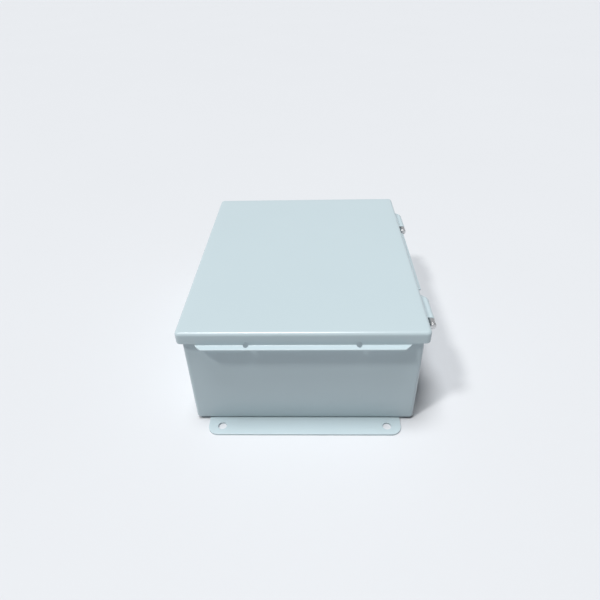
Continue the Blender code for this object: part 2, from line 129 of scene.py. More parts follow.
@dataclass(frozen=True)
class Outline:
    """A rectangle with round corners, as columns that run once round it.

    Each column has a place on the rectangle that joins the corner centres, from -1 to
    1 both ways, and the outward normal there. The point of a column is its place times
    (half size minus corner radius) plus its normal times the corner radius.
    """

    spread: Array
    normal: Array

    @classmethod
    def around(cls, corner_steps: int, along_x: Array, along_y: Array) -> Outline:
        """Lay columns round the four corners and along the four sides.

        Args:
            corner_steps: steps in each quarter turn.
            along_x: places of the columns on the two sides along X, between -1 and 1.
            along_y: the same for the two sides along Y.

        Returns:
            The outline, counter-clockwise from the corner at +X and -Y.
        """
        spread, normal = [], []
        quarter = np.linspace(0.0, pi / 2, corner_steps + 1)
        for turn, corner in enumerate(((1.0, -1.0), (1.0, 1.0), (-1.0, 1.0), (-1.0, -1.0))):
            across = turn % 2
            run = (along_y, along_x)[across] * (1.0 if turn in (0, 3) else -1.0)
            places = np.tile(corner, (len(run), 1))
            facing = np.zeros_like(places)
            places[:, 1 - across] = run
            facing[:, across] = corner[across]
            spread += [np.tile(corner, (len(quarter), 1)), places]
            normal += [unit(quarter + (turn - 1) * pi / 2), facing]
        return cls(np.concatenate(spread), np.concatenate(normal))

    def loop(self, half: Array, radius: float | Array) -> Array:
        """Points of one loop, from its half sizes and its corner radius."""
        return self.spread * (half - radius) + self.normal * radius

    def loops(self, half_x: Array, half_y: Array, radius: Array) -> Array:
        """Points of one loop for each half size and corner radius.

        Args:
            half_x: half the size along X, one for each row.
            half_y: half the size along Y, one for each row.
            radius: the corner radius, one for each row.

        Returns:
            Points in the plane, shaped rows by columns by 2.
        """
        half = np.stack(np.broadcast_arrays(half_x, half_y), axis=-1)[:, None, :]
        corner = np.broadcast_to(radius, half[:, 0, 0].shape)[:, None, None]
        return self.loop(half, corner)


def bend(inset: float, height: float, radius: float, turn: Range, steps: int) -> Array:
    """Points of a bend in a profile: its centre plus the radius at each angle.

    Args:
        inset: how far the centre lies in from the outer face.
        height: the centre's height.
        radius: the bend's radius, which may be 0.
        turn: first and last angle in degrees, where 180 faces outwards and 90 up.
        steps: steps between the two.

    Returns:
        Pairs of inset and height.
    """
    angle = np.radians(np.linspace(*turn, steps + 1))
    return np.array((inset, height)) + radius * unit(angle)


def ring_section(across: Range, upright: Range, radius: float, steps: int) -> Array:
    """A rectangle with round corners, as the section of a ring.

    Args:
        across: its first and last inset.
        upright: its lowest and highest height.
        radius: the corners' radius.
        steps: steps in each corner.

    Returns:
        Pairs of inset and height.
    """
    first, last = across[0] + radius, across[1] - radius
    low, high = upright[0] + radius, upright[1] - radius
    corners = ((first, low, 270.0), (first, high, 180.0), (last, high, 90.0), (last, low, 0.0))
    bends = [bend(*place, radius, (turn, turn - 90.0), steps) for *place, turn in corners]
    return np.concatenate(bends)


def revolve(radius: Array, along: Array, steps: int) -> Array:
    """Points of a turned shape: radius times the cosine and sine round Z, at each height.

    Args:
        radius: one for each row, or one for each row and column.
        along: the height of each row.
        steps: how many columns go round.

    Returns:
        Points, rows by columns by 3.
    """
    reach = radius if radius.ndim == 2 else radius[:, None]
    plan = reach[..., None] * unit(full_turn(steps))
    return lift(plan, along)


def extent(node: str) -> tuple[Vector, Vector, Vector, Vector]:
    """A node's box: its lowest and highest corner, its half size and its middle."""
    low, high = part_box(node)
    return low, high, (high - low) / 2, (high + low) / 2


def lift(plan: Array, height: Array) -> Array:
    """Give each plan loop its height: a height for each row, or one for each point."""
    level = np.broadcast_to(height if height.ndim == 2 else height[:, None], plan.shape[:2])
    return np.concatenate((plan, level[..., None]), axis=-1)


def shrink(loop: Array, level: float, scale: Array) -> Array:
    """Copies of a loop drawn in towards its middle: the middle plus scale times the rest."""
    centre = np.array((0.0, 0.0, level))
    return centre + scale[:, None, None] * (loop[None] - centre)


def waves(x: Array, y: Array) -> Array:
    """Slow unevenness of rolled sheet, from -1 to 1: a mean of three crossed sine waves.

    Args:
        x: places along X.
        y: places along Y.

    Returns:
        The unevenness at each place.
    """
    length_x, length_y, length_skew, length_steep, steep_share = 0.163, 0.211, 0.127, 0.094, 0.6
    crossed = np.sin(x * tau / length_x + 0.7) * np.cos(y * tau / length_y + 0.4)
    skew = np.sin((x + y) * tau / length_skew + 2.1)
    steep = np.cos((x - 0.6 * y) * tau / length_steep + 1.3)
    return (crossed + skew + steep_share * steep) / (2.0 + steep_share)


# ---------------------------------------------------------------- meshes


def put_in_scene(name: str, data: bpy.types.ID) -> Piece:
    """Make an object of some data, and link it to the scene.

    Args:
        name: its name.
        data: the data it shows.

    Returns:
        The object.
    """
    made = bpy.data.objects.new(name, data)
    bpy.context.scene.collection.objects.link(made)
    return made


def grid_faces(rows: int, columns: int, ring: bool) -> Array:
    """Corner numbers of the faces of a grid whose columns run round and close.

    Face (i, j) joins point (i, j) to its neighbours in the next column and row.

    Args:
        rows: number of rows.
        columns: number of columns.
        ring: True if the last row also joins the first.

    Returns:
        Four corner numbers for each face.
    """
    row = np.arange(rows if ring else rows - 1)[:, None]
    column = np.arange(columns)[None, :]
    above = (row + 1) % rows * columns
    beside = (column + 1) % columns
    row = row * columns
    corners = (row + column, row + beside, above + beside, above + column)
    return np.stack(np.broadcast_arrays(*corners), axis=-1).reshape(-1, 4)


class Skin:
    """Turns grids of points into closed pieces."""

    WELD = 2e-7
    SMOOTH_ANGLE = radians(38)
    BEVEL_ANGLE = radians(50)
    BEVEL_STEPS = 2
    WIDE_FACE = 1e-5
    CUTTER_STEPS = 40
    THROUGH = 4.0 * MM
    EDGE = "edge"
    SUFFIX = "_skin"

    @classmethod
    def piece(
        cls, node: str, points: Array, ring: bool = False, edge: Array | None = None
    ) -> Piece:
        """Make a piece from a grid of points, with poles welded and open ends capped.

        Args:
            node: the node that the piece is named after.
            points: rows by columns by 3.
            ring: True if the last row joins the first, as on a washer.
            edge: how close each row is to an edge or a bend, from 0 to 1.

        Returns:
            The piece's object, at the origin.
        """
        name = node + cls.SUFFIX
        rows, columns = points.shape[:2]
        mesh = bpy.data.meshes.new(name)
        faces = grid_faces(rows, columns, ring)
        mesh.from_pydata(points.reshape(-1, 3).tolist(), [], faces.tolist())
        if edge is not None:
            level = np.repeat(np.asarray(edge, dtype=np.float32), columns)
            mesh.attributes.new(cls.EDGE, "FLOAT", "POINT").data.foreach_set("value", level)
        cls.close(mesh)
        return put_in_scene(name, mesh)

    @classmethod
    def close(cls, mesh: Mesh) -> None:
        """Weld equal points, cap open ends, turn faces outwards and smooth them.

        Args:
            mesh: the mesh, changed in place.
        """
        shape = bmesh.new()
        shape.from_mesh(mesh)
        bmesh.ops.remove_doubles(shape, verts=shape.verts, dist=cls.WELD)
        open_edges = [line for line in shape.edges if line.is_boundary]
        if open_edges:
            bmesh.ops.holes_fill(shape, edges=open_edges, sides=0)
        bmesh.ops.recalc_face_normals(shape, faces=shape.faces)
        shape.to_mesh(mesh)
        shape.free()
        cls.smooth(mesh)

    @classmethod
    def smooth(cls, mesh: Mesh) -> None:
        """Shade smooth, except across sharp edges."""
        mesh.shade_smooth()
        mesh.set_sharp_from_angle(angle=cls.SMOOTH_ANGLE)

    @classmethod
    def settle(cls, obj: Piece) -> None:
        """Replace a piece's mesh by the one its modifiers give, and drop the modifiers.

        Args:
            obj: the piece.
        """
        bpy.context.view_layer.update()
        graph = bpy.context.evaluated_depsgraph_get()
        mesh = bpy.data.meshes.new_from_object(obj.evaluated_get(graph))
        mesh.name = obj.name
        obj.modifiers.clear()
        obj.data = mesh
        cls.smooth(mesh)

    @classmethod
    def drill(cls, obj: Piece, centres: Array, axis: Array, radius: float, reach: float) -> None:
        """Cut round holes through a piece.

        Each cutter is a cylinder: centre, plus radius times the cosine and sine of the
        angle round its axis, plus the reach along it, both ways.

        Args:
            obj: the piece.
            centres: one row of X, Y, Z for each hole.
            axis: the unit direction of each hole, one row for each.
            radius: the holes' radius.
            reach: how far a cutter goes to each side of its centre.
        """
        cutters = []
        across = np.array((1.0, 0.0, 0.0))
        for centre, along in zip(centres, axis):
            plane = np.stack((across, np.cross(along, across)))
            rim = radius * unit(full_turn(cls.CUTTER_STEPS)) @ plane
            sides = np.array((-reach, reach))[:, None, None] * along
            cutters.append(cls.piece("hole_cutter", centre + sides + rim[None]))
        for cutter in cutters:
            cut = obj.modifiers.new(cutter.name, "BOOLEAN")
            cut.operation = "DIFFERENCE"
            cut.solver = "EXACT"
            cut.object = cutter
        cls.settle(obj)
        for cutter in cutters:
            bpy.data.objects.remove(cutter, do_unlink=True)

    @classmethod
    def soften(cls, obj: Piece, width: float) -> None:
        """Round the sharp edges of a piece with a bevel, and keep its wide faces flat.

        Args:
            obj: the piece.
            width: the bevel's width.
        """
        round_off = obj.modifiers.new("soft_edges", "BEVEL")
        round_off.width = width
        round_off.segments = cls.BEVEL_STEPS
        round_off.limit_method = "ANGLE"
        round_off.angle_limit = cls.BEVEL_ANGLE
        cls.settle(obj)
        faces = obj.data.polygons
        area = np.empty(len(faces), dtype=np.float32)
        faces.foreach_get("area", area)
        faces.foreach_set("use_smooth", area < cls.WIDE_FACE)

    @classmethod
    def plate(
        cls, node: str, plan: Array, faces: Range, holes: Array, hole_radius: float, edge: float
    ) -> Piece:
        """A flat sheet: its outline at both faces, capped, drilled and softened.

        Args:
            node: the node that the piece is named after.
            plan: the outline, one row of X and Y for each point.
            faces: heights of the two faces.
            holes: one row of X and Y for each hole.
            hole_radius: the holes' radius.
            edge: how far the sharp edges are rounded.

        Returns:
            The sheet.
        """
        sheet = cls.piece(node, lift(np.repeat(plan[None], 2, axis=0), np.array(faces)))
        centres = np.insert(holes, 2, sum(faces) / 2, axis=1)
        axis = np.tile((0.0, 0.0, 1.0), (len(holes), 1))
        cls.drill(sheet, centres, axis, hole_radius, cls.THROUGH)
        cls.soften(sheet, edge)
        return sheet


# ---------------------------------------------------------------- shader graphs


class Graph:
    """A node tree and the few moves that every finish makes in it."""

    def __init__(self, tree: Tree) -> None:
        """Keep the tree, and empty it."""
        self.tree = tree
        tree.nodes.clear()

    def feed(self, node: Node, inputs: Inputs) -> None:
        """Link a socket to each input of a node, or set a plain value on it.

        Args:
            node: the node.
            inputs: a socket or a plain value for each input's name or number.
        """
        for name, source in inputs.items():
            if isinstance(source, Socket):
                self.tree.links.new(source, node.inputs[name])
            else:
                node.inputs[name].default_value = source

    def node(self, kind: str, inputs: Inputs | None = None, **values: object) -> Node:
        """Add a node, set its fields and feed its inputs.

        Args:
            kind: the node's type name.
            inputs: a socket or a plain value for each input's name or number.
            **values: fields of the node, and their values.

        Returns:
            The new node.
        """
        made = self.tree.nodes.new(kind)
        for name, value in values.items():
            setattr(made, name, value)
        self.feed(made, inputs or {})
        return made

    def math(self, operation: str, first: object, second: object) -> Socket:
        """One arithmetic step on two numbers or sockets, and its result's socket."""
        return self.node("ShaderNodeMath", {0: first, 1: second}, operation=operation).outputs[0]

    def times(self, first: object, second: object) -> Socket:
        """The product of two numbers or sockets."""
        return self.math("MULTIPLY", first, second)

    def plus(self, first: object, second: object) -> Socket:
        """The sum of two numbers or sockets."""
        return self.math("ADD", first, second)

    def spread(self, value: Socket, source: Range, target: Range = (0.0, 1.0)) -> Socket:
        """Map a value from one range to another, and clamp it there.

        Args:
            value: the varying value.
            source: the range it comes in.
            target: the range it leaves in.

        Returns:
            The mapped value's socket.
        """
        limits = dict(zip(("From Min", "From Max", "To Min", "To Max"), (*source, *target)))
        made = self.node("ShaderNodeMapRange", clamp=True, interpolation_type="SMOOTHSTEP")
        self.feed(made, {"Value": value, **limits})
        return made.outputs["Result"]

    def blend(self, factor: object, first: object, second: object) -> Socket:
        """Mix two colours, each a socket or a plain colour, by a factor.

        Args:
            factor: 0 for the first colour and 1 for the second.
            first: the first colour.
            second: the second colour.

        Returns:
            The mixed colour's socket.
        """
        made = self.node("ShaderNodeMix", {"Factor": factor}, data_type="RGBA")
        places = [place for place, socket in enumerate(made.inputs) if socket.type == "RGBA"]
        colors = [(*color, 1.0) if isinstance(color, tuple) else color for color in (first, second)]
        self.feed(made, dict(zip(places, colors)))
        return next(socket for socket in made.outputs if socket.type == "RGBA")

    def noise(self, vector: Socket, scale: object, detail: float, roughness: float = 0.5) -> Socket:
        """A noise texture's value at a vector.

        Args:
            vector: where to read it.
            scale: features per metre, as a socket or a number.
            detail: octaves.
            roughness: how much the finer octaves count.

        Returns:
            The value's socket, from 0 to 1.
        """
        inputs = {"Vector": vector, "Scale": scale, "Detail": detail, "Roughness": roughness}
        return self.node("ShaderNodeTexNoise", inputs).outputs["Fac"]

    def cells(self, vector: Socket, scale: Socket, feature: str = "F1") -> tuple[Socket, Node]:
        """Round cells: the distance to the nearest heart, and each cell's random channels.

        Args:
            vector: where to read them.
            scale: cells per metre.
            feature: how neighbouring cells meet.

        Returns:
            The distance's socket, and the node whose outputs are the channels.
        """
        made = self.node("ShaderNodeTexVoronoi", {"Vector": vector, "Scale": scale}, feature=feature)
        channels = self.node("ShaderNodeSeparateColor", {"Color": made.outputs["Color"]})
        return made.outputs["Distance"], channels


class EffectGroup:
    """A shared shader node group, built once and placed in any material."""

    name: str = ""
    inputs: dict[str, float] = {}

    @classmethod
    def tree(cls) -> Tree:
        """The group's tree, made on first use.

        Returns:
            The tree.
        """
        found = bpy.data.node_groups.get(cls.name)
        if found is not None:
            return found
        made = bpy.data.node_groups.new(cls.name, "ShaderNodeTree")
        made.interface.new_socket("Vector", in_out="INPUT", socket_type="NodeSocketVector")
        for name, value in cls.inputs.items():
            socket = made.interface.new_socket(name, in_out="INPUT", socket_type="NodeSocketFloat")
            socket.default_value = value
        graph = Graph(made)
        effects = cls.wire(graph, graph.node("NodeGroupInput"))
        for name in effects:
            made.interface.new_socket(name, in_out="OUTPUT", socket_type="NodeSocketFloat")
        graph.node("NodeGroupOutput", effects)
        return made

    @classmethod
    def wire(cls, graph: Graph, start: Node) -> dict[str, Socket]:
        """Build the effect from the group's inputs, and name the socket of each output."""
        raise NotImplementedError

    @classmethod
    def put(cls, graph: Graph, vector: Socket, **inputs: float) -> bpy.types.bpy_prop_collection:
        """Place the group in a material.

        Args:
            graph: the material's graph.
            vector: the coordinates that the effect follows.
            **inputs: the group's inputs.

        Returns:
            The group's outputs, which carry the effect.
        """
        made = graph.node("ShaderNodeGroup", {"Vector": vector, **inputs}, node_tree=cls.tree())
        return made.outputs


class PaintSkin(EffectGroup):
    """Baked paint: a fine rippled skin, a slow drift in tone, and a few specks of dust."""

    name = "paint_skin"
    inputs = {"Ripples": 650.0, "Drifts": 9.0, "Specks": 85.0, "SpeckSize": 0.02}
    swell_share = 0.4
    coarser = 0.22
    rare_above = 0.93
    speck_rise = 0.8

    @classmethod
    def wire(cls, graph: Graph, start: Node) -> dict[str, Socket]:
        """Ripple is two noises, drift one slow noise, and specks the hearts of rare cells.

        Args:
            graph: the group's graph.
            start: the node whose outputs are the group's inputs.

        Returns:
            The socket of each output.
        """
        given = start.outputs
        ripple = graph.noise(given["Vector"], given["Ripples"], 1.5, 0.45)
        swell = graph.noise(given["Vector"], graph.times(given["Ripples"], cls.coarser), 1.0)
        fine = graph.times(ripple, 1.0 - cls.swell_share)
        film = graph.plus(fine, graph.times(swell, cls.swell_share))
        drift = graph.noise(given["Vector"], given["Drifts"], 3.0, 0.55)
        distance, channels = graph.cells(given["Vector"], given["Specks"])
        near = graph.math("LESS_THAN", distance, given["SpeckSize"])
        rare = graph.math("GREATER_THAN", channels.outputs["Red"], cls.rare_above)
        specks = graph.times(near, rare)
        return {
            "Height": graph.plus(film, graph.times(specks, cls.speck_rise)),
            "Drift": graph.spread(drift, (0.3, 0.7)),
            "Specks": specks,
            "Film": film,
        }


class EdgeBand(EffectGroup):
    """Where paint or plating thins out: the piece's own edge value, broken up by noise."""

    name = "edge_band"
    inputs = {"Breaks": 140.0}

    @classmethod
    def wire(cls, graph: Graph, start: Node) -> dict[str, Socket]:
        """The edge value times a noise that leaves gaps in it.

        Args:
            graph: the group's graph.
            start: the node whose outputs are the group's inputs.

        Returns:
            The socket of each output.
        """
        broken = graph.noise(start.outputs["Vector"], start.outputs["Breaks"], 3.0, 0.6)
        own = graph.node("ShaderNodeAttribute", attribute_name=Skin.EDGE, attribute_type="GEOMETRY")
        gaps = graph.spread(broken, (0.25, 0.7), (0.35, 1.0))
        return {"Edge": graph.times(own.outputs["Fac"], gaps)}


class MetalGrain(EffectGroup):
    """Bare or plated metal: fine drawn streaks, cloudy crystals and dull patches."""

    name = "metal_grain"
    inputs = {"Streaks": 2200.0, "Clouds": 420.0, "Patches": 60.0}
    squeeze = (1.0, 22.0, 1.0)
    crystal_rise = 0.35

    @classmethod
    def wire(cls, graph: Graph, start: Node) -> dict[str, Socket]:
        """Streaks are a noise squeezed along Y, clouds are cells, patches a slow noise.

        Args:
            graph: the group's graph.
            start: the node whose outputs are the group's inputs.

        Returns:
            The socket of each output.
        """
        given = start.outputs
        drawn = graph.node("ShaderNodeMapping", vector_type="TEXTURE")
        graph.feed(drawn, {"Vector": given["Vector"], "Scale": cls.squeeze})
        streaks = graph.noise(drawn.outputs["Vector"], given["Streaks"], 2.0)
        _, channels = graph.cells(given["Vector"], given["Clouds"], "SMOOTH_F1")
        patches = graph.noise(given["Vector"], given["Patches"], 4.0, 0.6)
        crystals = graph.times(channels.outputs["Green"], cls.crystal_rise)
        return {
            "Height": graph.plus(streaks, crystals),
            "Streaks": graph.spread(streaks, (0.25, 0.75)),
            "Clouds": channels.outputs["Red"],
            "Patches": graph.spread(patches, (0.35, 0.7)),
        }


class FoamPores(EffectGroup):
    """Closed-cell rubber: small pores, and a soft unevenness between them."""

    name = "foam_pores"
    inputs = {"Pores": 1400.0, "Blooms": 55.0}
    bloom_rise = 0.4

    @classmethod
    def wire(cls, graph: Graph, start: Node) -> dict[str, Socket]:
        """Pores are the hearts of cells, and bloom is a slow noise.

        Args:
            graph: the group's graph.
            start: the node whose outputs are the group's inputs.

        Returns:
            The socket of each output.
        """
        given = start.outputs
        distance, _ = graph.cells(given["Vector"], given["Pores"])
        pores = graph.spread(distance, (0.08, 0.42), (1.0, 0.0))
        bloom = graph.noise(given["Vector"], given["Blooms"], 4.0, 0.6)
        return {
            "Height": graph.math("SUBTRACT", graph.times(bloom, cls.bloom_rise), pores),
            "Pores": pores,
            "Bloom": graph.spread(bloom, (0.4, 0.7)),
        }


# ---------------------------------------------------------------- finishes


def scaled(color: Color, gain: float) -> Color:
    """A colour times a gain, with each channel at most 1."""
    return tuple(min(1.0, gain * level) for level in color)


@dataclass(frozen=True)
class Finish:
    """One material: what every finish has, and the shader that they end in."""

    name: str
    base: Color
    accent: Color
    roughness: Range
    relief: float

    def looks(self, graph: Graph, place: Socket) -> Inputs:
        """The shader's inputs, which each kind of finish works out from the coordinates."""
        raise NotImplementedError

    def raised(self, graph: Graph, height: Socket) -> Socket:
        """The normal that a height gives, by the finish's relief in metres."""
        inputs = {"Strength": 1.0, "Distance": self.relief, "Height": height}
        return graph.node("ShaderNodeBump", inputs).outputs["Normal"]

    def material(self) -> Material:
        """Build the material: one shader with the finish's own inputs.

        Returns:
            The material.
        """
        made = bpy.data.materials.new(self.name)
        made.use_nodes = True
        made.diffuse_color = (*self.base, 1.0)
        graph = Graph(made.node_tree)
        inputs = self.looks(graph, graph.node("ShaderNodeTexCoord").outputs["Object"])
        shader = graph.node("ShaderNodeBsdfPrincipled", inputs)
        graph.node("ShaderNodeOutputMaterial", {"Surface": shader.outputs["BSDF"]})
        return made


@dataclass(frozen=True)
class Paint(Finish):
    """Baked enamel on steel."""

    drift: float = 0.5
    edge: float = 0.3
    edge_gain: float = 1.06
    dust: float = 0.35
    dust_color: Color = (0.3, 0.32, 0.3)
    drift_gloss: float = 0.015

    def looks(self, graph: Graph, place: Socket) -> Inputs:
        """Drifting tone, specks, thin bright edges and a rippled gloss.

        Args:
            graph: the material's graph.
            place: the piece's own coordinates.

        Returns:
            The shader's inputs.
        """
        skin = PaintSkin.put(graph, place)
        edge = graph.times(EdgeBand.put(graph, place)["Edge"], self.edge)
        tone = graph.blend(graph.times(skin["Drift"], self.drift), self.base, self.accent)
        edged = graph.blend(edge, tone, scaled(self.accent, self.edge_gain))
        dusty = graph.blend(graph.times(skin["Specks"], self.dust), edged, self.dust_color)
        gloss = graph.spread(skin["Film"], (0.3, 0.7), self.roughness)
        return {
            "Base Color": dusty,
            "Roughness": graph.plus(gloss, graph.times(skin["Drift"], self.drift_gloss)),
            "Normal": self.raised(graph, skin["Height"]),
        }


@dataclass(frozen=True)
class Metal(Finish):
    """Bare or plated metal."""

    tarnish: Color = (0.3, 0.3, 0.3)
    tarnish_amount: float = 0.35
    edge: float = 0.5
    edge_gain: float = 1.15
    edge_breaks: float = 400.0
    patch_gloss: float = 0.12

    def looks(self, graph: Graph, place: Socket) -> Inputs:
        """Clouded plating, drawn streaks and dull patches.

        Args:
            graph: the material's graph.
            place: the piece's own coordinates.

        Returns:
            The shader's inputs.
        """
        grain = MetalGrain.put(graph, place)
        edge = EdgeBand.put(graph, place, Breaks=self.edge_breaks)["Edge"]
        clouds = graph.blend(grain["Clouds"], self.base, self.accent)
        tarnished = graph.times(grain["Patches"], self.tarnish_amount)
        dull = graph.blend(tarnished, clouds, self.tarnish)
        bright = scaled(self.base, self.edge_gain)
        gloss = graph.spread(grain["Streaks"], (0.0, 1.0), self.roughness)
        return {
            "Base Color": graph.blend(graph.times(edge, self.edge), dull, bright),
            "Metallic": 1.0,
            "Roughness": graph.plus(gloss, graph.times(grain["Patches"], self.patch_gloss)),
            "Normal": self.raised(graph, grain["Height"]),
        }


@dataclass(frozen=True)
class Rubber(Finish):
    """Closed-cell foam rubber."""

    # painted shade in the pores: how strongly they are darkened, and the gain on the base colour
    # that they darken to
    pore_depth: float = 0.7
    pore_gain: float = 0.35

    def looks(self, graph: Graph, place: Socket) -> Inputs:
        """Dark foam, paler bloom, and pores that dip, with painted shade darkening them.

        Args:
            graph: the material's graph.
            place: the piece's own coordinates.

        Returns:
            The shader's inputs.
        """
        foam = FoamPores.put(graph, place)
        tone = graph.blend(foam["Bloom"], self.base, self.accent)
        # painted shade: each pore's colour is pulled towards a fraction of the base colour, standing
        # in for shade in the hollow
        depth = graph.times(foam["Pores"], self.pore_depth)
        return {
            "Base Color": graph.blend(depth, tone, scaled(self.base, self.pore_gain)),
            "Roughness": graph.spread(foam["Bloom"], (0.0, 1.0), self.roughness),
            "Normal": self.raised(graph, foam["Height"]),
        }


@dataclass(frozen=True)
class Matte(Finish):
    """A dull, flat finish with the faintest drift in tone."""

    specular: float = 0.2
    drifts: float = 3.0

    def looks(self, graph: Graph, place: Socket) -> Inputs:
        """A slow drift between the two colours, under an even gloss.

        Args:
            graph: the material's graph.
            place: the piece's own coordinates.

        Returns:
            The shader's inputs.
        """
        drift = graph.noise(place, self.drifts, 3.0)
        return {
            "Base Color": graph.blend(drift, self.base, self.accent),
            "Roughness": self.roughness[0],
            "Specular IOR Level": self.specular,
        }


class Finishes:
    """Every material of the box, made once and given to a piece by its slot's name."""

    def __init__(self) -> None:
        """Build the six materials."""
        dull_zinc, dull_brass, dull_steel = (0.42, 0.42, 0.4), (0.4, 0.27, 0.12), (0.36, 0.34, 0.33)
        makers = (
            Paint("box_paint", (0.462, 0.558, 0.598), (0.472, 0.568, 0.608), (0.2, 0.26), 6e-6),
            Paint("panel_paint", (0.6, 0.605, 0.59), (0.63, 0.635, 0.615), (0.3, 0.4), 1e-5),
            Metal("zinc_plate", (0.6, 0.63, 0.66), (0.7, 0.71, 0.7), (0.26, 0.4), 6e-6, dull_zinc),
            Metal("brass", (0.68, 0.5, 0.22), (0.76, 0.59, 0.29), (0.22, 0.34), 5e-6, dull_brass),
            Metal("hinge_steel", (0.6, 0.61, 0.62), (0.7, 0.7, 0.7), (0.2, 0.36), 8e-6, dull_steel),
            Rubber("gasket_rubber", (0.022, 0.022, 0.024), (0.05,) * 3, (0.66, 0.82), 1.8e-4),
        )
        self.made = {maker.name: maker.material() for maker in makers}

    def dress(self, piece: Piece, body: Body, slot: str) -> None:
        """Give a piece its material, and put it in the place of the node it is named after.

        Args:
            piece: the piece.
            body: the body it rides on.
            slot: its material slot.
        """
        piece.data.materials.clear()
        piece.data.materials.append(self.made[slot])
        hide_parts(piece.name.removesuffix(Skin.SUFFIX))
        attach(piece, body.value)
        LOG.info("%s: %d faces, on %s", piece.name, len(piece.data.polygons), body.value)


# ---------------------------------------------------------------- case


@dataclass
class BodyShell:
    """The welded tray: floor, four walls, and a lip turned in around the mouth."""

    finishes: Finishes
    sheet: float = 1.9 * MM
    corner_radius: float = 3.5 * MM
    base_radius: float = 2.5 * MM
    rim_radius: float = 2.2 * MM
    lip: float = 9.5 * MM
    mouth_radius: float = 4.0 * MM
    edge_round: float = 0.35 * MM
    unevenness: float = 0.12 * MM
    bend_steps: int = 8
    wall_rows: int = 6
    mouth_steps: int = 3

    def profile(self, bottom: float, top: float) -> tuple[Array, Array]:
        """The section of wall, rim and lip, from under the floor to inside it.

        Args:
            bottom: height of the underside.
            top: height of the rim.

        Returns:
            Pairs of inset and height, and the corner radius at each of them.
        """
        floor, rim = bottom + self.base_radius, top - self.rim_radius
        base, edge, tight = self.base_radius, self.edge_round, self.mouth_steps
        wall = between(floor, rim, self.wall_rows)
        outer_rows = np.concatenate((
            bend(base, floor, base, (270.0, 180.0), self.bend_steps),
            np.stack((np.zeros(self.wall_rows), wall), axis=1),
            bend(self.rim_radius, rim, self.rim_radius, (180.0, 90.0), self.bend_steps),
        ))
        mouth_rows = np.concatenate((
            bend(self.lip - edge, top - edge, edge, (90.0, 0.0), tight),
            bend(self.lip - edge, top - self.sheet + edge, edge, (0.0, -90.0), tight),
        ))
        inside_rows = np.concatenate((
            bend(self.rim_radius, rim, self.rim_radius - self.sheet, (90.0, 180.0), tight),
            bend(base, floor, base - self.sheet, (180.0, 270.0), tight),
        ))
        rows = np.concatenate((outer_rows, mouth_rows, inside_rows))
        smallest = 0.5 * self.sheet
        radius = np.maximum(self.corner_radius - rows[:, 0], smallest)
        first = len(outer_rows)
        radius[first : first + len(mouth_rows)] = self.mouth_radius
        return rows, radius

    def build(self) -> Piece:
        """Carry the section round the tray's outline, and close the floor at its middle.

        Returns:
            The tray, with its walls very slightly uneven.
        """
        low, high, half, middle = extent("body_shell")
        outline = Outline.around(8, between(-1.0, 1.0, 20), between(-1.0, 1.0, 26))
        rows, radius = self.profile(low.z, high.z)
        plan = outline.loops(half.x - rows[:, 0], half.y - rows[:, 0], radius)
        height = rows[:, 1, None]
        bulge = self.unevenness * waves(plan[..., 1] * 0.7 + height, plan[..., 0] + height)
        window = np.sin(pi * np.clip((height - low.z) / (high.z - low.z), 0.0, 1.0))
        flat = 1.0 - np.clip(np.abs(outline.spread).min(axis=1), 0.0, 1.0) ** 4
        plan = plan - outline.normal[None] * (np.abs(bulge) * window * flat)[..., None]
        wall = lift(plan, rows[:, 1])
        scale = np.linspace(0.0, 1.0, 7)[:-1]
        under = shrink(wall[0], rows[0, 1], scale)
        inside = shrink(wall[-1], rows[-1, 1], scale[::-1])
        points = np.concatenate((under, wall, inside))
        points += np.array((middle.x, middle.y, 0.0))
        turned = np.zeros(len(points))
        turned[len(under) + 1 : len(under) + self.bend_steps - 1] = 1.0
        rim = len(under) + self.bend_steps + 1 + self.wall_rows
        mouth_end = rim + self.bend_steps + 1 + 2 * (self.mouth_steps + 1)
        turned[rim + 2 : mouth_end - 1] = 1.0
        return Skin.piece("body_shell", points, edge=turned)

    def dress(self) -> None:
        """Build the tray, paint it, and let it stand for the node."""
        self.finishes.dress(self.build(), Body.CASE, "box_paint")


@dataclass
class MountingFeet:
    """The strips across the back, with round outer corners and two holes each."""

    finishes: Finishes
    corner_radius: float = 9.5 * MM
    inner_radius: float = 0.8 * MM
    hole_radius: float = 3.95 * MM
    hole_end: float = 12.7 * MM
    hole_setback: float = 9.525 * MM
    edge_round: float = 0.28 * MM

    def build(self, end: End) -> Piece:
        """Lay a strip's outline at both faces, cap it, drill it and soften its edges.

        The outline is a rectangle with round corners: small ones under the box and
        large ones beyond it.

        Args:
            end: which end of the box.

        Returns:
            The strip.
        """
        node = f"mounting_foot_{end.word}"
        low, high, half, middle = extent(node)
        wall = (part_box("body_shell")[1] if end is End.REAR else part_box("body_shell")[0]).y
        outline = Outline.around(10, np.array(()), np.array(()))
        outer = outline.spread[:, 1] * end.value > 0.0
        radius = np.where(outer, self.corner_radius, self.inner_radius)[:, None]
        plan = outline.loop(np.array((half.x, half.y)), radius) + np.array((middle.x, middle.y))
        across = half.x - self.hole_end
        hole_y = wall + end.value * self.hole_setback
        holes = np.array([(middle.x + side * across, hole_y) for side in (-1, 1)])
        return Skin.plate(node, plan, (low.z, high.z), holes, self.hole_radius, self.edge_round)

    def dress(self) -> None:
        """Build both strips, paint them, and let them stand for their nodes."""
        for end in End:
            self.finishes.dress(self.build(end), Body.CASE, "box_paint")


# ---------------------------------------------------------------- lid


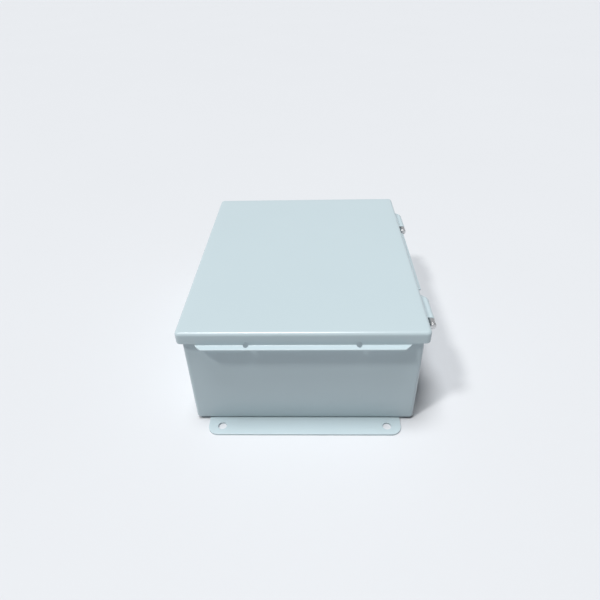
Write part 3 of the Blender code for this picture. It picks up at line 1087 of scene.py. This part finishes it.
@dataclass
class Lid:
    """The lid sheet: crowned edge, skirt, and flanges turned out on three sides."""

    finishes: Finishes
    sheet: float = 1.5 * MM
    edge_radius: float = 3.0 * MM
    corner_radius: float = 4.5 * MM
    skirt: float = 11.2 * MM
    flange_inset: float = 15.6 * MM
    flange_reach: float = 5.8 * MM
    flange_radius: float = 0.8 * MM
    flange_drop: float = 1.2 * MM
    hinge_gap: float = 2.0 * MM
    bend_above: float = 3.4 * MM
    hole_inset: float = 43.1 * MM
    hole_radius: float = 2.3 * MM
    drill_reach: float = 6.0 * MM
    edge_round: float = 0.3 * MM
    unevenness: float = 0.10 * MM
    crown_steps: int = 9
    slant_steps: int = 12
    hair: float = 0.03 * MM
    square_on: float = 0.999
    tolerance: float = 1e-7
    least_reach: float = 0.01 * MM
    most_straight: float = 0.8
    most_curved: float = 0.6
    stops: tuple[int, ...] = (0, 6, 15, 21)
    low: Vector = field(init=False)
    high: Vector = field(init=False)

    def __post_init__(self) -> None:
        """Read the lid's box from the frame."""
        self.low, self.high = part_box("lid")

    @property
    def middle(self) -> Vector:
        """Middle of the skirt's plan. The flange on the hinge side isn't part of it."""
        return (self.low + self.high - Vector((self.flange_reach, 0.0, 0.0))) / 2

    @property
    def half_x(self) -> float:
        """Half the width over the skirt."""
        return (self.high.x - self.low.x - self.flange_reach) / 2

    @property
    def half_y(self) -> float:
        """Half the length over the skirt, without the flanges."""
        return (self.high.y - self.low.y) / 2 - self.flange_reach

    @property
    def straight_run(self) -> float:
        """How far a flanged column goes straight down before it bends."""
        return self.bend_above + self.flange_drop - self.flange_radius

    @property
    def root(self) -> float:
        """Half the length of an end flange where it leaves the skirt."""
        return self.half_x - self.flange_inset

    def side_flange(self) -> Range:
        """Lowest and highest Y of the flange between the hinges, at the skirt."""
        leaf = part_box("hinge_lid_leaf_front")[1].y + self.hinge_gap
        return leaf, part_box("hinge_pin_rear")[0].y - self.hinge_gap

    def crowd(self, low: float, high: float, steps: int) -> Array:
        """Places of one flange's columns, close together at its slanted ends.

        Args:
            low: where the flange starts.
            high: where it ends.
            steps: how many places between the slanted ends.

        Returns:
            The places, and one hair's breadth outside each end.
        """
        slant = np.insert(np.linspace(0.0, self.flange_reach, self.slant_steps), 0, -self.hair)
        inner = between(low + self.flange_reach, high - self.flange_reach, steps)
        return np.concatenate((low + slant, inner, (high - slant)[::-1]))

    def columns(self) -> Outline:
        """The columns round the lid, crowded where the flanges end.

        Returns:
            The outline that carries them.
        """
        beyond = between(self.root, self.half_x - self.corner_radius, 3)
        along_x = np.concatenate((-beyond[::-1], self.crowd(-self.root, self.root, 28), beyond))
        low, high = self.side_flange()
        before = between(self.corner_radius - self.half_y, low, 8)
        past = between(high, self.half_y - self.corner_radius, 8)
        along_y = np.concatenate((before, self.crowd(low, high, 20), past))
        reach_x, reach_y = self.half_x - self.corner_radius, self.half_y - self.corner_radius
        return Outline.around(9, along_x / reach_x, along_y / reach_y)

    def lower_face(self, along: Array, flanged: Array) -> tuple[Array, Array, Array]:
        """The outer face below the start of the flange's bend.

        A plain column goes straight down. A flanged one goes down, round a quarter
        bend of the flange radius, and then straight out.

        Args:
            along: distance down the sheet, rows by columns.
            flanged: 1 for each column of a flange, 0 for the rest.

        Returns:
            Distance out from the skirt, height, and the angle that the face has turned.
        """
        start = self.high.z - self.skirt + self.bend_above
        straight = self.straight_run
        turn = np.clip((along - straight) / self.flange_radius, 0.0, pi / 2) * flanged
        flat = np.clip(along - straight - self.flange_radius * pi / 2, 0.0, None) * flanged
        down = np.where(flanged > 0, np.minimum(along, straight), along)
        out = self.flange_radius * (1.0 - np.cos(turn)) + flat
        return out, start - down - self.flange_radius * np.sin(turn), turn

    def lengths(self, outline: Outline) -> tuple[Array, Array]:
        """How far the sheet runs below the start of the bend, for each column.

        A flange stands out as far as the column is from the flange's nearer end, up to
        its full reach, which makes 45 degree ends.

        Args:
            outline: the columns.

        Returns:
            The lengths, and 1 for each column of a flange.
        """
        place = outline.spread * (np.array((self.half_x, self.half_y)) - self.corner_radius)
        end_room = self.root - np.abs(place[:, 0])
        low, high = self.side_flange()
        side_room = np.minimum(place[:, 1] - low, high - place[:, 1])
        room = np.where(np.abs(outline.normal[:, 1]) > self.square_on, end_room, -1.0)
        room = np.where(outline.normal[:, 0] > self.square_on, side_room, room)
        flanged = (room >= -self.tolerance).astype(float)
        reach = np.clip(room, self.least_reach, self.flange_reach)
        radius = self.flange_radius
        partial = radius * np.arccos(np.clip(1.0 - reach / radius, -1.0, 1.0))
        whole = radius * pi / 2 + reach - radius
        turned = np.where(reach < radius, partial, whole)
        return np.where(flanged > 0, self.straight_run + turned, self.bend_above), flanged

    def runs(self, lengths: Array) -> Array:
        """Distances down each column, close together where the sheet bends.

        Args:
            lengths: the length of each column.

        Returns:
            Distances, rows by columns, from 0 to the length.
        """
        row = np.arange(self.stops[-1] + 1)[:, None]
        straight = np.minimum(self.straight_run, self.most_straight * lengths)
        quarter = self.flange_radius * pi / 2
        curved = np.minimum(quarter, self.most_curved * (lengths - straight))
        flat = lengths - straight - curved
        stages = zip(self.stops, self.stops[1:], (straight, curved, flat))
        return sum(
            part * np.clip((row - start) / (stop - start), 0.0, 1.0) for start, stop, part in stages
        )

    def build(self) -> Piece:
        """Carry the section round the lid and close it at its middle, on both sides.

        Rows run from the middle of the top over the crowned edge, down the skirt and
        round the cut edge, then up inside to the middle of the underside. A point is
        the skirt's outline plus its normal times the distance out.

        Returns:
            The lid, drilled.
        """
        outline = self.columns()
        normal = outline.normal[None]
        half = np.array((self.half_x, self.half_y))
        face = outline.loop(half, self.corner_radius)
        top, radius, sheet = self.high.z, self.edge_radius, self.sheet

        def rows_of(out: Array, height: Array) -> Array:
            """Points at a distance out from the skirt's face, at a height."""
            out = np.broadcast_to(out if out.ndim == 2 else out[:, None], (len(out), len(face)))
            return lift(face[None] + normal * out[..., None], height)

        crown = bend(radius, top - radius, radius, (90.0, 180.0), self.crown_steps)
        crown_rows = rows_of(-crown[:, 0], crown[:, 1])
        hollow = bend(radius, top - radius, radius - sheet, (180.0, 90.0), 5)
        hollow_rows = rows_of(-hollow[:, 0], hollow[:, 1])
        lengths, flanged = self.lengths(outline)
        out, height, turn = self.lower_face(self.runs(lengths - self.edge_round), flanged[None])
        outer_rows = rows_of(out, height)
        inner_rows = rows_of(out - sheet * np.cos(turn), height - sheet * np.sin(turn))
        corner = np.radians(np.linspace(0.0, 90.0, 4))[1:, None]
        tip_turn, tip_out, tip_height = turn[-1][None], out[-1][None], height[-1][None]
        forward = self.edge_round * np.sin(corner)
        inward = self.edge_round * (1.0 - np.cos(corner))
        depth = np.concatenate((inward, sheet - inward[::-1]))
        ahead = np.concatenate((forward, forward[::-1]))
        lip_rows = rows_of(
            tip_out + ahead * np.sin(tip_turn) - depth * np.cos(tip_turn),
            tip_height - ahead * np.cos(tip_turn) - depth * np.sin(tip_turn),
        )
        scale = np.linspace(0.0, 1.0, 15)[:-1]
        upper = shrink(crown_rows[0], top, scale)
        swell = self.unevenness * waves(upper[..., 0], upper[..., 1]) * (1.0 - scale[:, None] ** 6)
        upper[..., 2] -= np.abs(swell)
        under = shrink(hollow_rows[-1], top - sheet, scale[::-1])
        points = np.concatenate(
            (upper, crown_rows, outer_rows, lip_rows, inner_rows[::-1], hollow_rows, under)
        )
        points += np.array((self.middle.x, self.middle.y, 0.0))
        edge = np.zeros(len(points))
        edge[len(upper) + 2 : len(upper) + self.crown_steps - 1] = 0.8
        first = len(upper) + len(crown_rows) + len(outer_rows)
        edge[first - 1 : first + len(lip_rows) + 1] = 1.0
        lid = Skin.piece("lid", points, edge=edge)
        self.drill(lid)
        return lid

    def drill(self, lid: Piece) -> None:
        """Drill two holes through the bend of each end flange, square to its slope.

        Args:
            lid: the lid.
        """
        slope = sin(pi / 4)
        bite = self.flange_radius * (1.0 - slope)
        level = self.high.z - self.skirt - self.flange_drop + bite
        across = self.root - self.hole_inset
        spots = [(side, end.value) for end in End for side in (-1, 1)]
        centres = [(self.middle.x + i * across, j * (self.half_y + bite), level) for i, j in spots]
        axes = [(0.0, j * slope, slope) for _, j in spots]
        Skin.drill(lid, np.array(centres), np.array(axes), self.hole_radius, self.drill_reach)

    def dress(self) -> None:
        """Build the lid, paint it, and let it stand for the node."""
        self.finishes.dress(self.build(), Body.LID, "box_paint")


@dataclass
class Gasket:
    """The foam rubber frame inside the lid."""

    finishes: Finishes
    width: float = 10.0 * MM
    corner_radius: float = 3.2 * MM
    inner_radius: float = 4.0 * MM
    round_off: float = 0.9 * MM
    ripple: float = 0.12 * MM

    def build(self) -> Piece:
        """Carry a rectangle with round corners round the frame.

        Returns:
            The gasket, its faces slightly uneven as cut foam is.
        """
        low, high, half, middle = extent("lid_gasket")
        section = ring_section((0.0, self.width), (low.z, high.z), self.round_off, 4)
        outline = Outline.around(8, between(-1.0, 1.0, 40), between(-1.0, 1.0, 48))
        part = section[:, 0] / self.width
        radius = self.corner_radius + (self.inner_radius - self.corner_radius) * part
        plan = outline.loops(half.x - section[:, 0], half.y - section[:, 0], radius)
        points = lift(plan, section[:, 1])
        wander = self.ripple * waves(points[..., 0] * 9.0, points[..., 1] * 9.0) * part[:, None]
        points[..., :2] += outline.normal[None] * wander[..., None]
        points += np.array((middle.x, middle.y, 0.0))
        return Skin.piece("lid_gasket", points, ring=True)

    def dress(self) -> None:
        """Build the gasket and let it stand for the node."""
        self.finishes.dress(self.build(), Body.LID, "gasket_rubber")


# ---------------------------------------------------------------- hinges


@dataclass
class Hinges:
    """Two lift-off hinges: a bare leaf on the wall, a painted one on the lid, a pin."""

    finishes: Finishes
    sheet: float = 1.2 * MM
    bore: float = 2.1 * MM
    roll: float = 292.0
    leaf_bend: float = 1.6 * MM
    leaf_corner: float = 1.5 * MM
    leaf_shoulder: float = 1.4 * MM
    least_length: float = 20.0 * MM
    body_knuckle: float = 7.2 * MM
    overlap: float = 1.2 * MM
    lid_sheet: float = 1.5 * MM
    edge_round: float = 0.22 * MM
    head_radius: float = 3.0 * MM
    head: float = 1.4 * MM
    pin_radius: float = 2.0 * MM
    pin_tip: float = 0.6 * MM
    axis: Vector = field(init=False)

    def __post_init__(self) -> None:
        """Read the hinge axis from the frame."""
        self.axis = Vector(frame["joints"][0]["pos_m"])

    @property
    def mid_radius(self) -> float:
        """Radius of the rolled sheet's centre line."""
        return self.bore + self.sheet / 2

    def strip(self, node: str, path: Array, low: Array, high: Array) -> Piece:
        """Carry a rounded rectangle along a path, wide along Y.

        A point is the path's point, plus the path's normal times the section's height,
        with Y at the middle of the strip plus the section's width.

        Args:
            node: the node that the piece is named after.
            path: pairs of X and Z from the hinge axis.
            low: lowest Y at each point of the path.
            high: highest Y at each point of the path.

        Returns:
            The strip, closed at both ends.
        """
        tangent = np.gradient(path, axis=0)
        tangent /= np.linalg.norm(tangent, axis=1)[:, None]
        normal = np.stack((-tangent[:, 1], tangent[:, 0]), axis=1)
        outline = Outline.around(3, between(-1.0, 1.0, 6), np.array(()))
        half_width = (high - low) / 2
        section = outline.loops(half_width, np.full(len(path), self.sheet / 2), self.edge_round)
        x = self.axis.x + path[:, None, 0] + normal[:, None, 0] * section[..., 1]
        z = self.axis.z + path[:, None, 1] + normal[:, None, 1] * section[..., 1]
        y = (low + high)[:, None] / 2 + section[..., 0]
        return Skin.piece(node, np.stack((x, y, z), axis=-1))

    def knuckle(self, first: float, turn: float) -> Array:
        """Centre line rolled round the pin, from one angle on, in degrees."""
        return bend(0.0, 0.0, self.mid_radius, (first, first + turn), 33)

    def body_leaf(self, node: str) -> Piece:
        """The leaf on the wall: a plate, a bend outwards, and one short knuckle.

        Args:
            node: the node that it stands for.

        Returns:
            The leaf.
        """
        low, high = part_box(node)
        wall = low.x + self.sheet / 2 - self.axis.x
        strap = -self.mid_radius
        turn = self.leaf_bend
        curve = bend(wall + turn, strap - turn, turn, (180.0, 90.0), 6)
        bottom = low.z - self.axis.z
        shoulder = curve[0, 1] - turn
        corner_size, blend_size = self.leaf_corner, self.leaf_shoulder
        rise = np.concatenate((
            np.linspace(bottom, bottom + corner_size, 5)[:-1],
            np.linspace(bottom + corner_size, shoulder - 2.0 * MM, 8),
            np.linspace(shoulder - blend_size, shoulder, 8),
        ))
        plate = np.stack((np.full(len(rise), wall), rise), axis=1)
        knuckle = self.knuckle(-90.0, self.roll)
        path = np.concatenate((plate, curve, knuckle))
        shoulder_part = np.clip((path[:, 1] - (shoulder - blend_size)) / blend_size, 0.0, 1.0)
        narrow = np.sqrt(np.clip(1.0 - (1.0 - shoulder_part) ** 2, 0.0, 1.0))
        narrow[len(plate) :] = 1.0
        corner = np.clip(1.0 - (path[:, 1] - bottom) / corner_size, 0.0, 1.0)
        corner[len(plate) :] = 0.0
        ease = corner_size * (1.0 - np.sqrt(1.0 - corner**2))
        top_y = high.y - narrow * (high.y - low.y - self.body_knuckle) - ease
        return self.strip(node, path, low.y + ease, top_y)

    def lid_leaf(self, node: str) -> Piece:
        """The leaf on the lid: a plate over one long knuckle, its far end cut at 45 degrees.

        Args:
            node: the node that it stands for.

        Returns:
            The leaf.
        """
        low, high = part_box(node)
        root = low.x - self.axis.x
        side = root + self.overlap + self.lid_sheet
        plate_x = np.linspace(root, -0.2 * MM, 14)
        plate = np.stack((plate_x, np.full(len(plate_x), self.mid_radius)), axis=1)
        path = np.concatenate((plate, self.knuckle(90.0, -self.roll)))
        cut = np.clip(path[:, 0] - side, 0.0, high.y - low.y - self.least_length)
        start = np.full(len(path), low.y)
        return self.strip(node, path, start, high.y - cut)

    def pin(self, node: str) -> Piece:
        """The pin: radius as a function of the distance along Y, with a domed head.

        Args:
            node: the node that it stands for.

        Returns:
            The pin.
        """
        low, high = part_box(node)
        dome = np.radians(np.linspace(0.0, 90.0, 7))
        head_y = low.y + self.head * 0.7 * (1.0 - np.cos(dome))
        head_r = self.head_radius * np.sin(dome)
        neck = low.y + self.head
        tip = self.pin_tip
        shank = (neck, neck, high.y - tip, high.y - tip / 3, high.y, high.y)
        radius = np.concatenate((
            head_r,
            (self.head_radius, self.pin_radius, self.pin_radius, self.pin_radius - tip / 2),
            (self.pin_radius - tip, 0.0),
        ))
        points = revolve(radius, np.concatenate((head_y, shank)), 36)[..., (0, 2, 1)]
        points += np.array((self.axis.x, 0.0, self.axis.z))
        return Skin.piece(node, points)

    def dress(self) -> None:
        """Build both hinges and let them stand for their nodes."""
        makers = (
            ("hinge_body_leaf", self.body_leaf, Body.CASE, "hinge_steel"),
            ("hinge_lid_leaf", self.lid_leaf, Body.LID, "box_paint"),
            ("hinge_pin", self.pin, Body.CASE, "hinge_steel"),
        )
        for end in End:
            for name, maker, body, slot in makers:
                self.finishes.dress(maker(f"{name}_{end.word}"), body, slot)


# ---------------------------------------------------------------- inside


@dataclass(frozen=True)
class Fastener:
    """Sizes of one stud with its washer and nut. Pieces point along Z, up or down."""

    stud_radius: float = 3.0 * MM
    collar_radius: float = 5.0 * MM
    collar: float = 1.2 * MM
    across_flats: float = 11.0 * MM
    pitch: float = 1.0 * MM
    upright: bool = True
    slip: float = 0.2 * MM
    edge_round: float = 0.25 * MM
    smooth: float = 0.3 * MM
    ease: float = 0.9 * MM
    mouth: float = 0.5 * MM
    thread_depth: float = 0.27
    cone_start: float = 0.95
    cone_slope: float = 1.5
    fade_rows: float = 5.0
    steps: int = 48

    def turned(self, node: str, radius: Array, height: Array, ring: bool) -> Piece:
        """A turned piece, on the axis of its node.

        Args:
            node: the node that the piece is named after.
            radius: one for each row, or one for each row and column.
            height: one for each row.
            ring: True if the profile closes on itself.

        Returns:
            The piece.
        """
        middle = extent(node)[-1]
        points = revolve(radius, height, self.steps) + np.array((middle.x, middle.y, 0.0))
        return Skin.piece(node, points, ring)

    def thread(self, height: Array) -> Array:
        """Depth of a screw thread: a rounded V that climbs one pitch in each turn."""
        phase = height[:, None] / self.pitch - full_turn(self.steps)[None] / tau
        return self.thread_depth * self.pitch * (1.0 - np.cos(tau * phase))

    def stud(self, node: str) -> Piece:
        """A collar with a threaded end.

        Args:
            node: the node whose box it fills.

        Returns:
            The stud.
        """
        low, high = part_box(node)
        length = high.z - low.z
        smooth, ease = self.smooth, self.ease
        threaded = np.arange(self.collar + ease, length - ease, self.pitch / 8)
        collar_z = np.array((0.0, 0.0, smooth, self.collar - smooth, self.collar, self.collar))
        narrow, wide = self.collar_radius - smooth, self.collar_radius
        collar_r = np.array((0.0, narrow, wide, wide, narrow, self.stud_radius))
        tip_z = np.array((length - 0.5 * ease, length, length))
        tip_r = np.array((self.stud_radius - 0.4 * ease, self.stud_radius - 0.7 * ease, 0.0))
        along = np.concatenate((collar_z, threaded, tip_z))
        plain = np.concatenate((collar_r, np.full(len(threaded), self.stud_radius), tip_r))
        radius = np.repeat(plain[:, None], self.steps, axis=1)
        place = np.arange(len(threaded))
        fade = np.clip(np.minimum(place, place[::-1]) / self.fade_rows, 0.0, 1.0)
        first = len(collar_z)
        radius[first : first + len(threaded)] -= self.thread(threaded) * fade[:, None]
        height = low.z + along if self.upright else high.z - along
        return self.turned(node, radius, height, False)

    def washer(self, node: str) -> Piece:
        """A flat ring with rounded edges that fills the node's box.

        Args:
            node: the node whose box it fills.

        Returns:
            The washer.
        """
        low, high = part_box(node)
        outer = (high.x - low.x) / 2
        bore = self.stud_radius + self.slip
        section = ring_section((bore, outer), (low.z, high.z), self.edge_round, 3)
        return self.turned(node, section[:, 0], section[:, 1], True)

    def nut(self, node: str) -> Piece:
        """A hexagon whose corners are cut by a cone at both faces, round a threaded bore.

        The outer radius is the smaller of the hexagon's and the cone's.

        Args:
            node: the node whose box it fills.

        Returns:
            The nut.
        """
        low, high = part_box(node)
        angle = full_turn(self.steps)
        from_flat = (angle + pi / 6) % (pi / 3) - pi / 6
        hexagon = self.across_flats / 2 / np.cos(from_flat)
        depth = high.z - low.z
        near = np.array((0.0, 0.0, 0.04, 0.08, 0.13, 0.2))
        share = np.concatenate((near, (0.8, 0.87, 0.92, 0.96, 1.0, 1.0)))
        outer_z = low.z + depth * share
        from_face = depth * np.minimum(share, 1.0 - share)
        cone = self.across_flats / 2 * self.cone_start + self.cone_slope * from_face
        outer = np.minimum(hexagon[None], cone[:, None])
        bore = self.stud_radius + self.slip
        outer[[0, -1]] = bore + self.mouth
        inner_z = np.arange(high.z - self.mouth, low.z + self.mouth, -self.pitch / 6)
        radius = np.concatenate((outer, bore + self.thread(inner_z) * 0.5))
        height = np.concatenate((outer_z, inner_z))
        return self.turned(node, radius, height, True)

    def dress(self, finishes: Finishes, pattern: str, body: Body, slot: str) -> None:
        """Build stud, washer and nut, and let them stand for their nodes.

        Args:
            finishes: every material of the box.
            pattern: the nodes' names, with a gap for the kind of piece.
            body: the body that they ride on.
            slot: their material slot.
        """
        for kind, maker in (("stud", self.stud), ("washer", self.washer), ("nut", self.nut)):
            finishes.dress(maker(pattern.format(kind)), body, slot)


@dataclass
class BackPanel:
    """The white plate on its four collar studs."""

    finishes: Finishes
    corner_radius: float = 6.0 * MM
    hole_inset: float = 12.0 * MM
    hole_radius: float = 3.2 * MM
    edge_round: float = 0.3 * MM

    def build(self) -> Piece:
        """Lay out the plate and its four holes, and make it.

        Returns:
            The plate.
        """
        low, high, half, middle = extent("back_panel")
        outline = Outline.around(8, np.array(()), np.array(()))
        shift = np.array((middle.x, middle.y))
        plan = outline.loop(np.array((half.x, half.y)), self.corner_radius) + shift
        spots = np.array(((-1, -1), (1, -1), (1, 1), (-1, 1)))
        holes = shift + spots * np.array((half.x - self.hole_inset, half.y - self.hole_inset))
        faces = (low.z, high.z)
        return Skin.plate("back_panel", plan, faces, holes, self.hole_radius, self.edge_round)

    def dress(self) -> None:
        """Build the plate and its fasteners, and let them stand for their nodes."""
        self.finishes.dress(self.build(), Body.CASE, "panel_paint")
        kit = Fastener(collar=9.5 * MM)
        for number in range(1, 5):
            kit.dress(self.finishes, f"panel_{{}}_{number}", Body.CASE, "zinc_plate")


@dataclass
class EarthPoints:
    """The brass earth studs, one on the floor and a smaller one under the lid."""

    finishes: Finishes

    def dress(self) -> None:
        """Build both studs with their washers and nuts."""
        Fastener().dress(self.finishes, "ground_{}", Body.CASE, "brass")
        bond = Fastener(
            stud_radius=2.4 * MM,
            collar_radius=4.4 * MM,
            across_flats=8.0 * MM,
            pitch=0.8 * MM,
            upright=False,
        )
        bond.dress(self.finishes, "lid_bond_{}", Body.LID, "brass")


# ---------------------------------------------------------------- studio


@dataclass(frozen=True)
class Lamp:
    """One far, soft light, given by its direction, its width in degrees and its strength."""

    name: str
    direction: Color
    width: float
    strength: float
    color: Color = (1.0, 1.0, 1.0)
    away: float = 2.0

    def build(self) -> None:
        """Make the light and turn it to shine from its direction."""
        data = bpy.data.lights.new(self.name, "SUN")
        data.angle = radians(self.width)
        data.color = self.color
        data.energy = self.strength * pi
        lamp = put_in_scene(self.name, data)
        way = Vector(self.direction).normalized()
        lamp.location = way * self.away
        lamp.rotation_euler = (-way).to_track_quat("-Z", "Y").to_euler()


@dataclass
class Studio:
    """A plain pale floor, soft light, and the camera."""

    floor_half: float = 6.0
    floor_gap: float = 0.02 * MM
    floor_color: Color = (0.61, 0.63, 0.66)
    sky_color: Color = (0.95, 0.97, 1.0)
    sky: float = 0.03
    mirrored_sky: float = 0.45
    seen_sky: float = 0.8
    lens: float = 29.137
    sensor: float = 36.0
    clip: Range = (0.01, 50.0)
    camera_place: Color = (5.67 * MM, -434.2 * MM, 359.5 * MM)
    pitch: float = 35.68
    yaw: float = 2.2
    roll: float = -1.625

    def lamps(self) -> tuple[Lamp, ...]:
        """The two lights: a broad one overhead, and a smaller one from the left front.

        Returns:
            The lights.
        """
        return (
            Lamp("overhead_light", (-0.1, -0.05, 0.98), 22.0, 0.97),
            Lamp("left_light", (-0.45, -0.33, 0.83), 7.0, 0.43, (1.0, 0.98, 0.95)),
        )

    def build_floor(self) -> None:
        """A square floor just under the feet, in a pale finish with the faintest drift."""
        half, level = self.floor_half, -self.floor_gap
        signs = ((-1, -1), (1, -1), (1, 1), (-1, 1))
        corners = [(x * half, y * half, level) for x, y in signs]
        mesh = bpy.data.meshes.new("studio_floor")
        mesh.from_pydata(corners, [], [(0, 1, 2, 3)])
        floor = put_in_scene("studio_floor", mesh)
        paler = scaled(self.floor_color, 1.02)
        finish = Matte("floor_finish", self.floor_color, paler, (0.65, 0.65), 0.0)
        mesh.materials.append(finish.material())

    def build_sky(self) -> None:
        """An even pale surrounding: dim as a light, brighter where it is mirrored or seen."""
        world = bpy.data.worlds.new("studio_sky")
        world.use_nodes = True
        graph = Graph(world.node_tree)
        rays = graph.node("ShaderNodeLightPath").outputs
        mirrored = graph.times(rays["Is Glossy Ray"], self.mirrored_sky)
        seen = graph.times(rays["Is Camera Ray"], self.seen_sky)
        strength = graph.plus(graph.plus(mirrored, seen), self.sky)
        inputs = {"Color": (*self.sky_color, 1.0), "Strength": strength}
        background = graph.node("ShaderNodeBackground", inputs)
        graph.node("ShaderNodeOutputWorld", {"Surface": background.outputs["Background"]})
        bpy.context.scene.world = world

    def build_camera(self) -> None:
        """The camera: turned by yaw about Z, pitched down, and rolled about its own axis."""
        data = bpy.data.cameras.new("camera")
        data.lens = self.lens
        data.sensor_width = self.sensor
        data.clip_start, data.clip_end = self.clip
        camera = put_in_scene("camera", data)
        turn = Matrix.Rotation(radians(self.yaw), 4, "Z")
        tilt = Matrix.Rotation(radians(90.0 - self.pitch), 4, "X")
        roll = Matrix.Rotation(radians(self.roll), 4, "Z")
        camera.matrix_world = Matrix.Translation(self.camera_place) @ turn @ tilt @ roll
        bpy.context.scene.camera = camera

    def build(self) -> None:
        """Set up camera, floor, sky and lights."""
        self.build_camera()
        self.build_floor()
        self.build_sky()
        for lamp in self.lamps():
            lamp.build()
        bpy.context.scene.view_settings.view_transform = "Standard"
        LOG.info("studio ready")


def main() -> None:
    """Build the studio and every part of the box."""
    logging.basicConfig(level=logging.INFO, format="%(message)s")
    Studio().build()
    finishes = Finishes()
    for part in (BodyShell, MountingFeet, Lid, Gasket, Hinges, BackPanel, EarthPoints):
        part(finishes).dress()


if __name__ == "__main__":
    main()
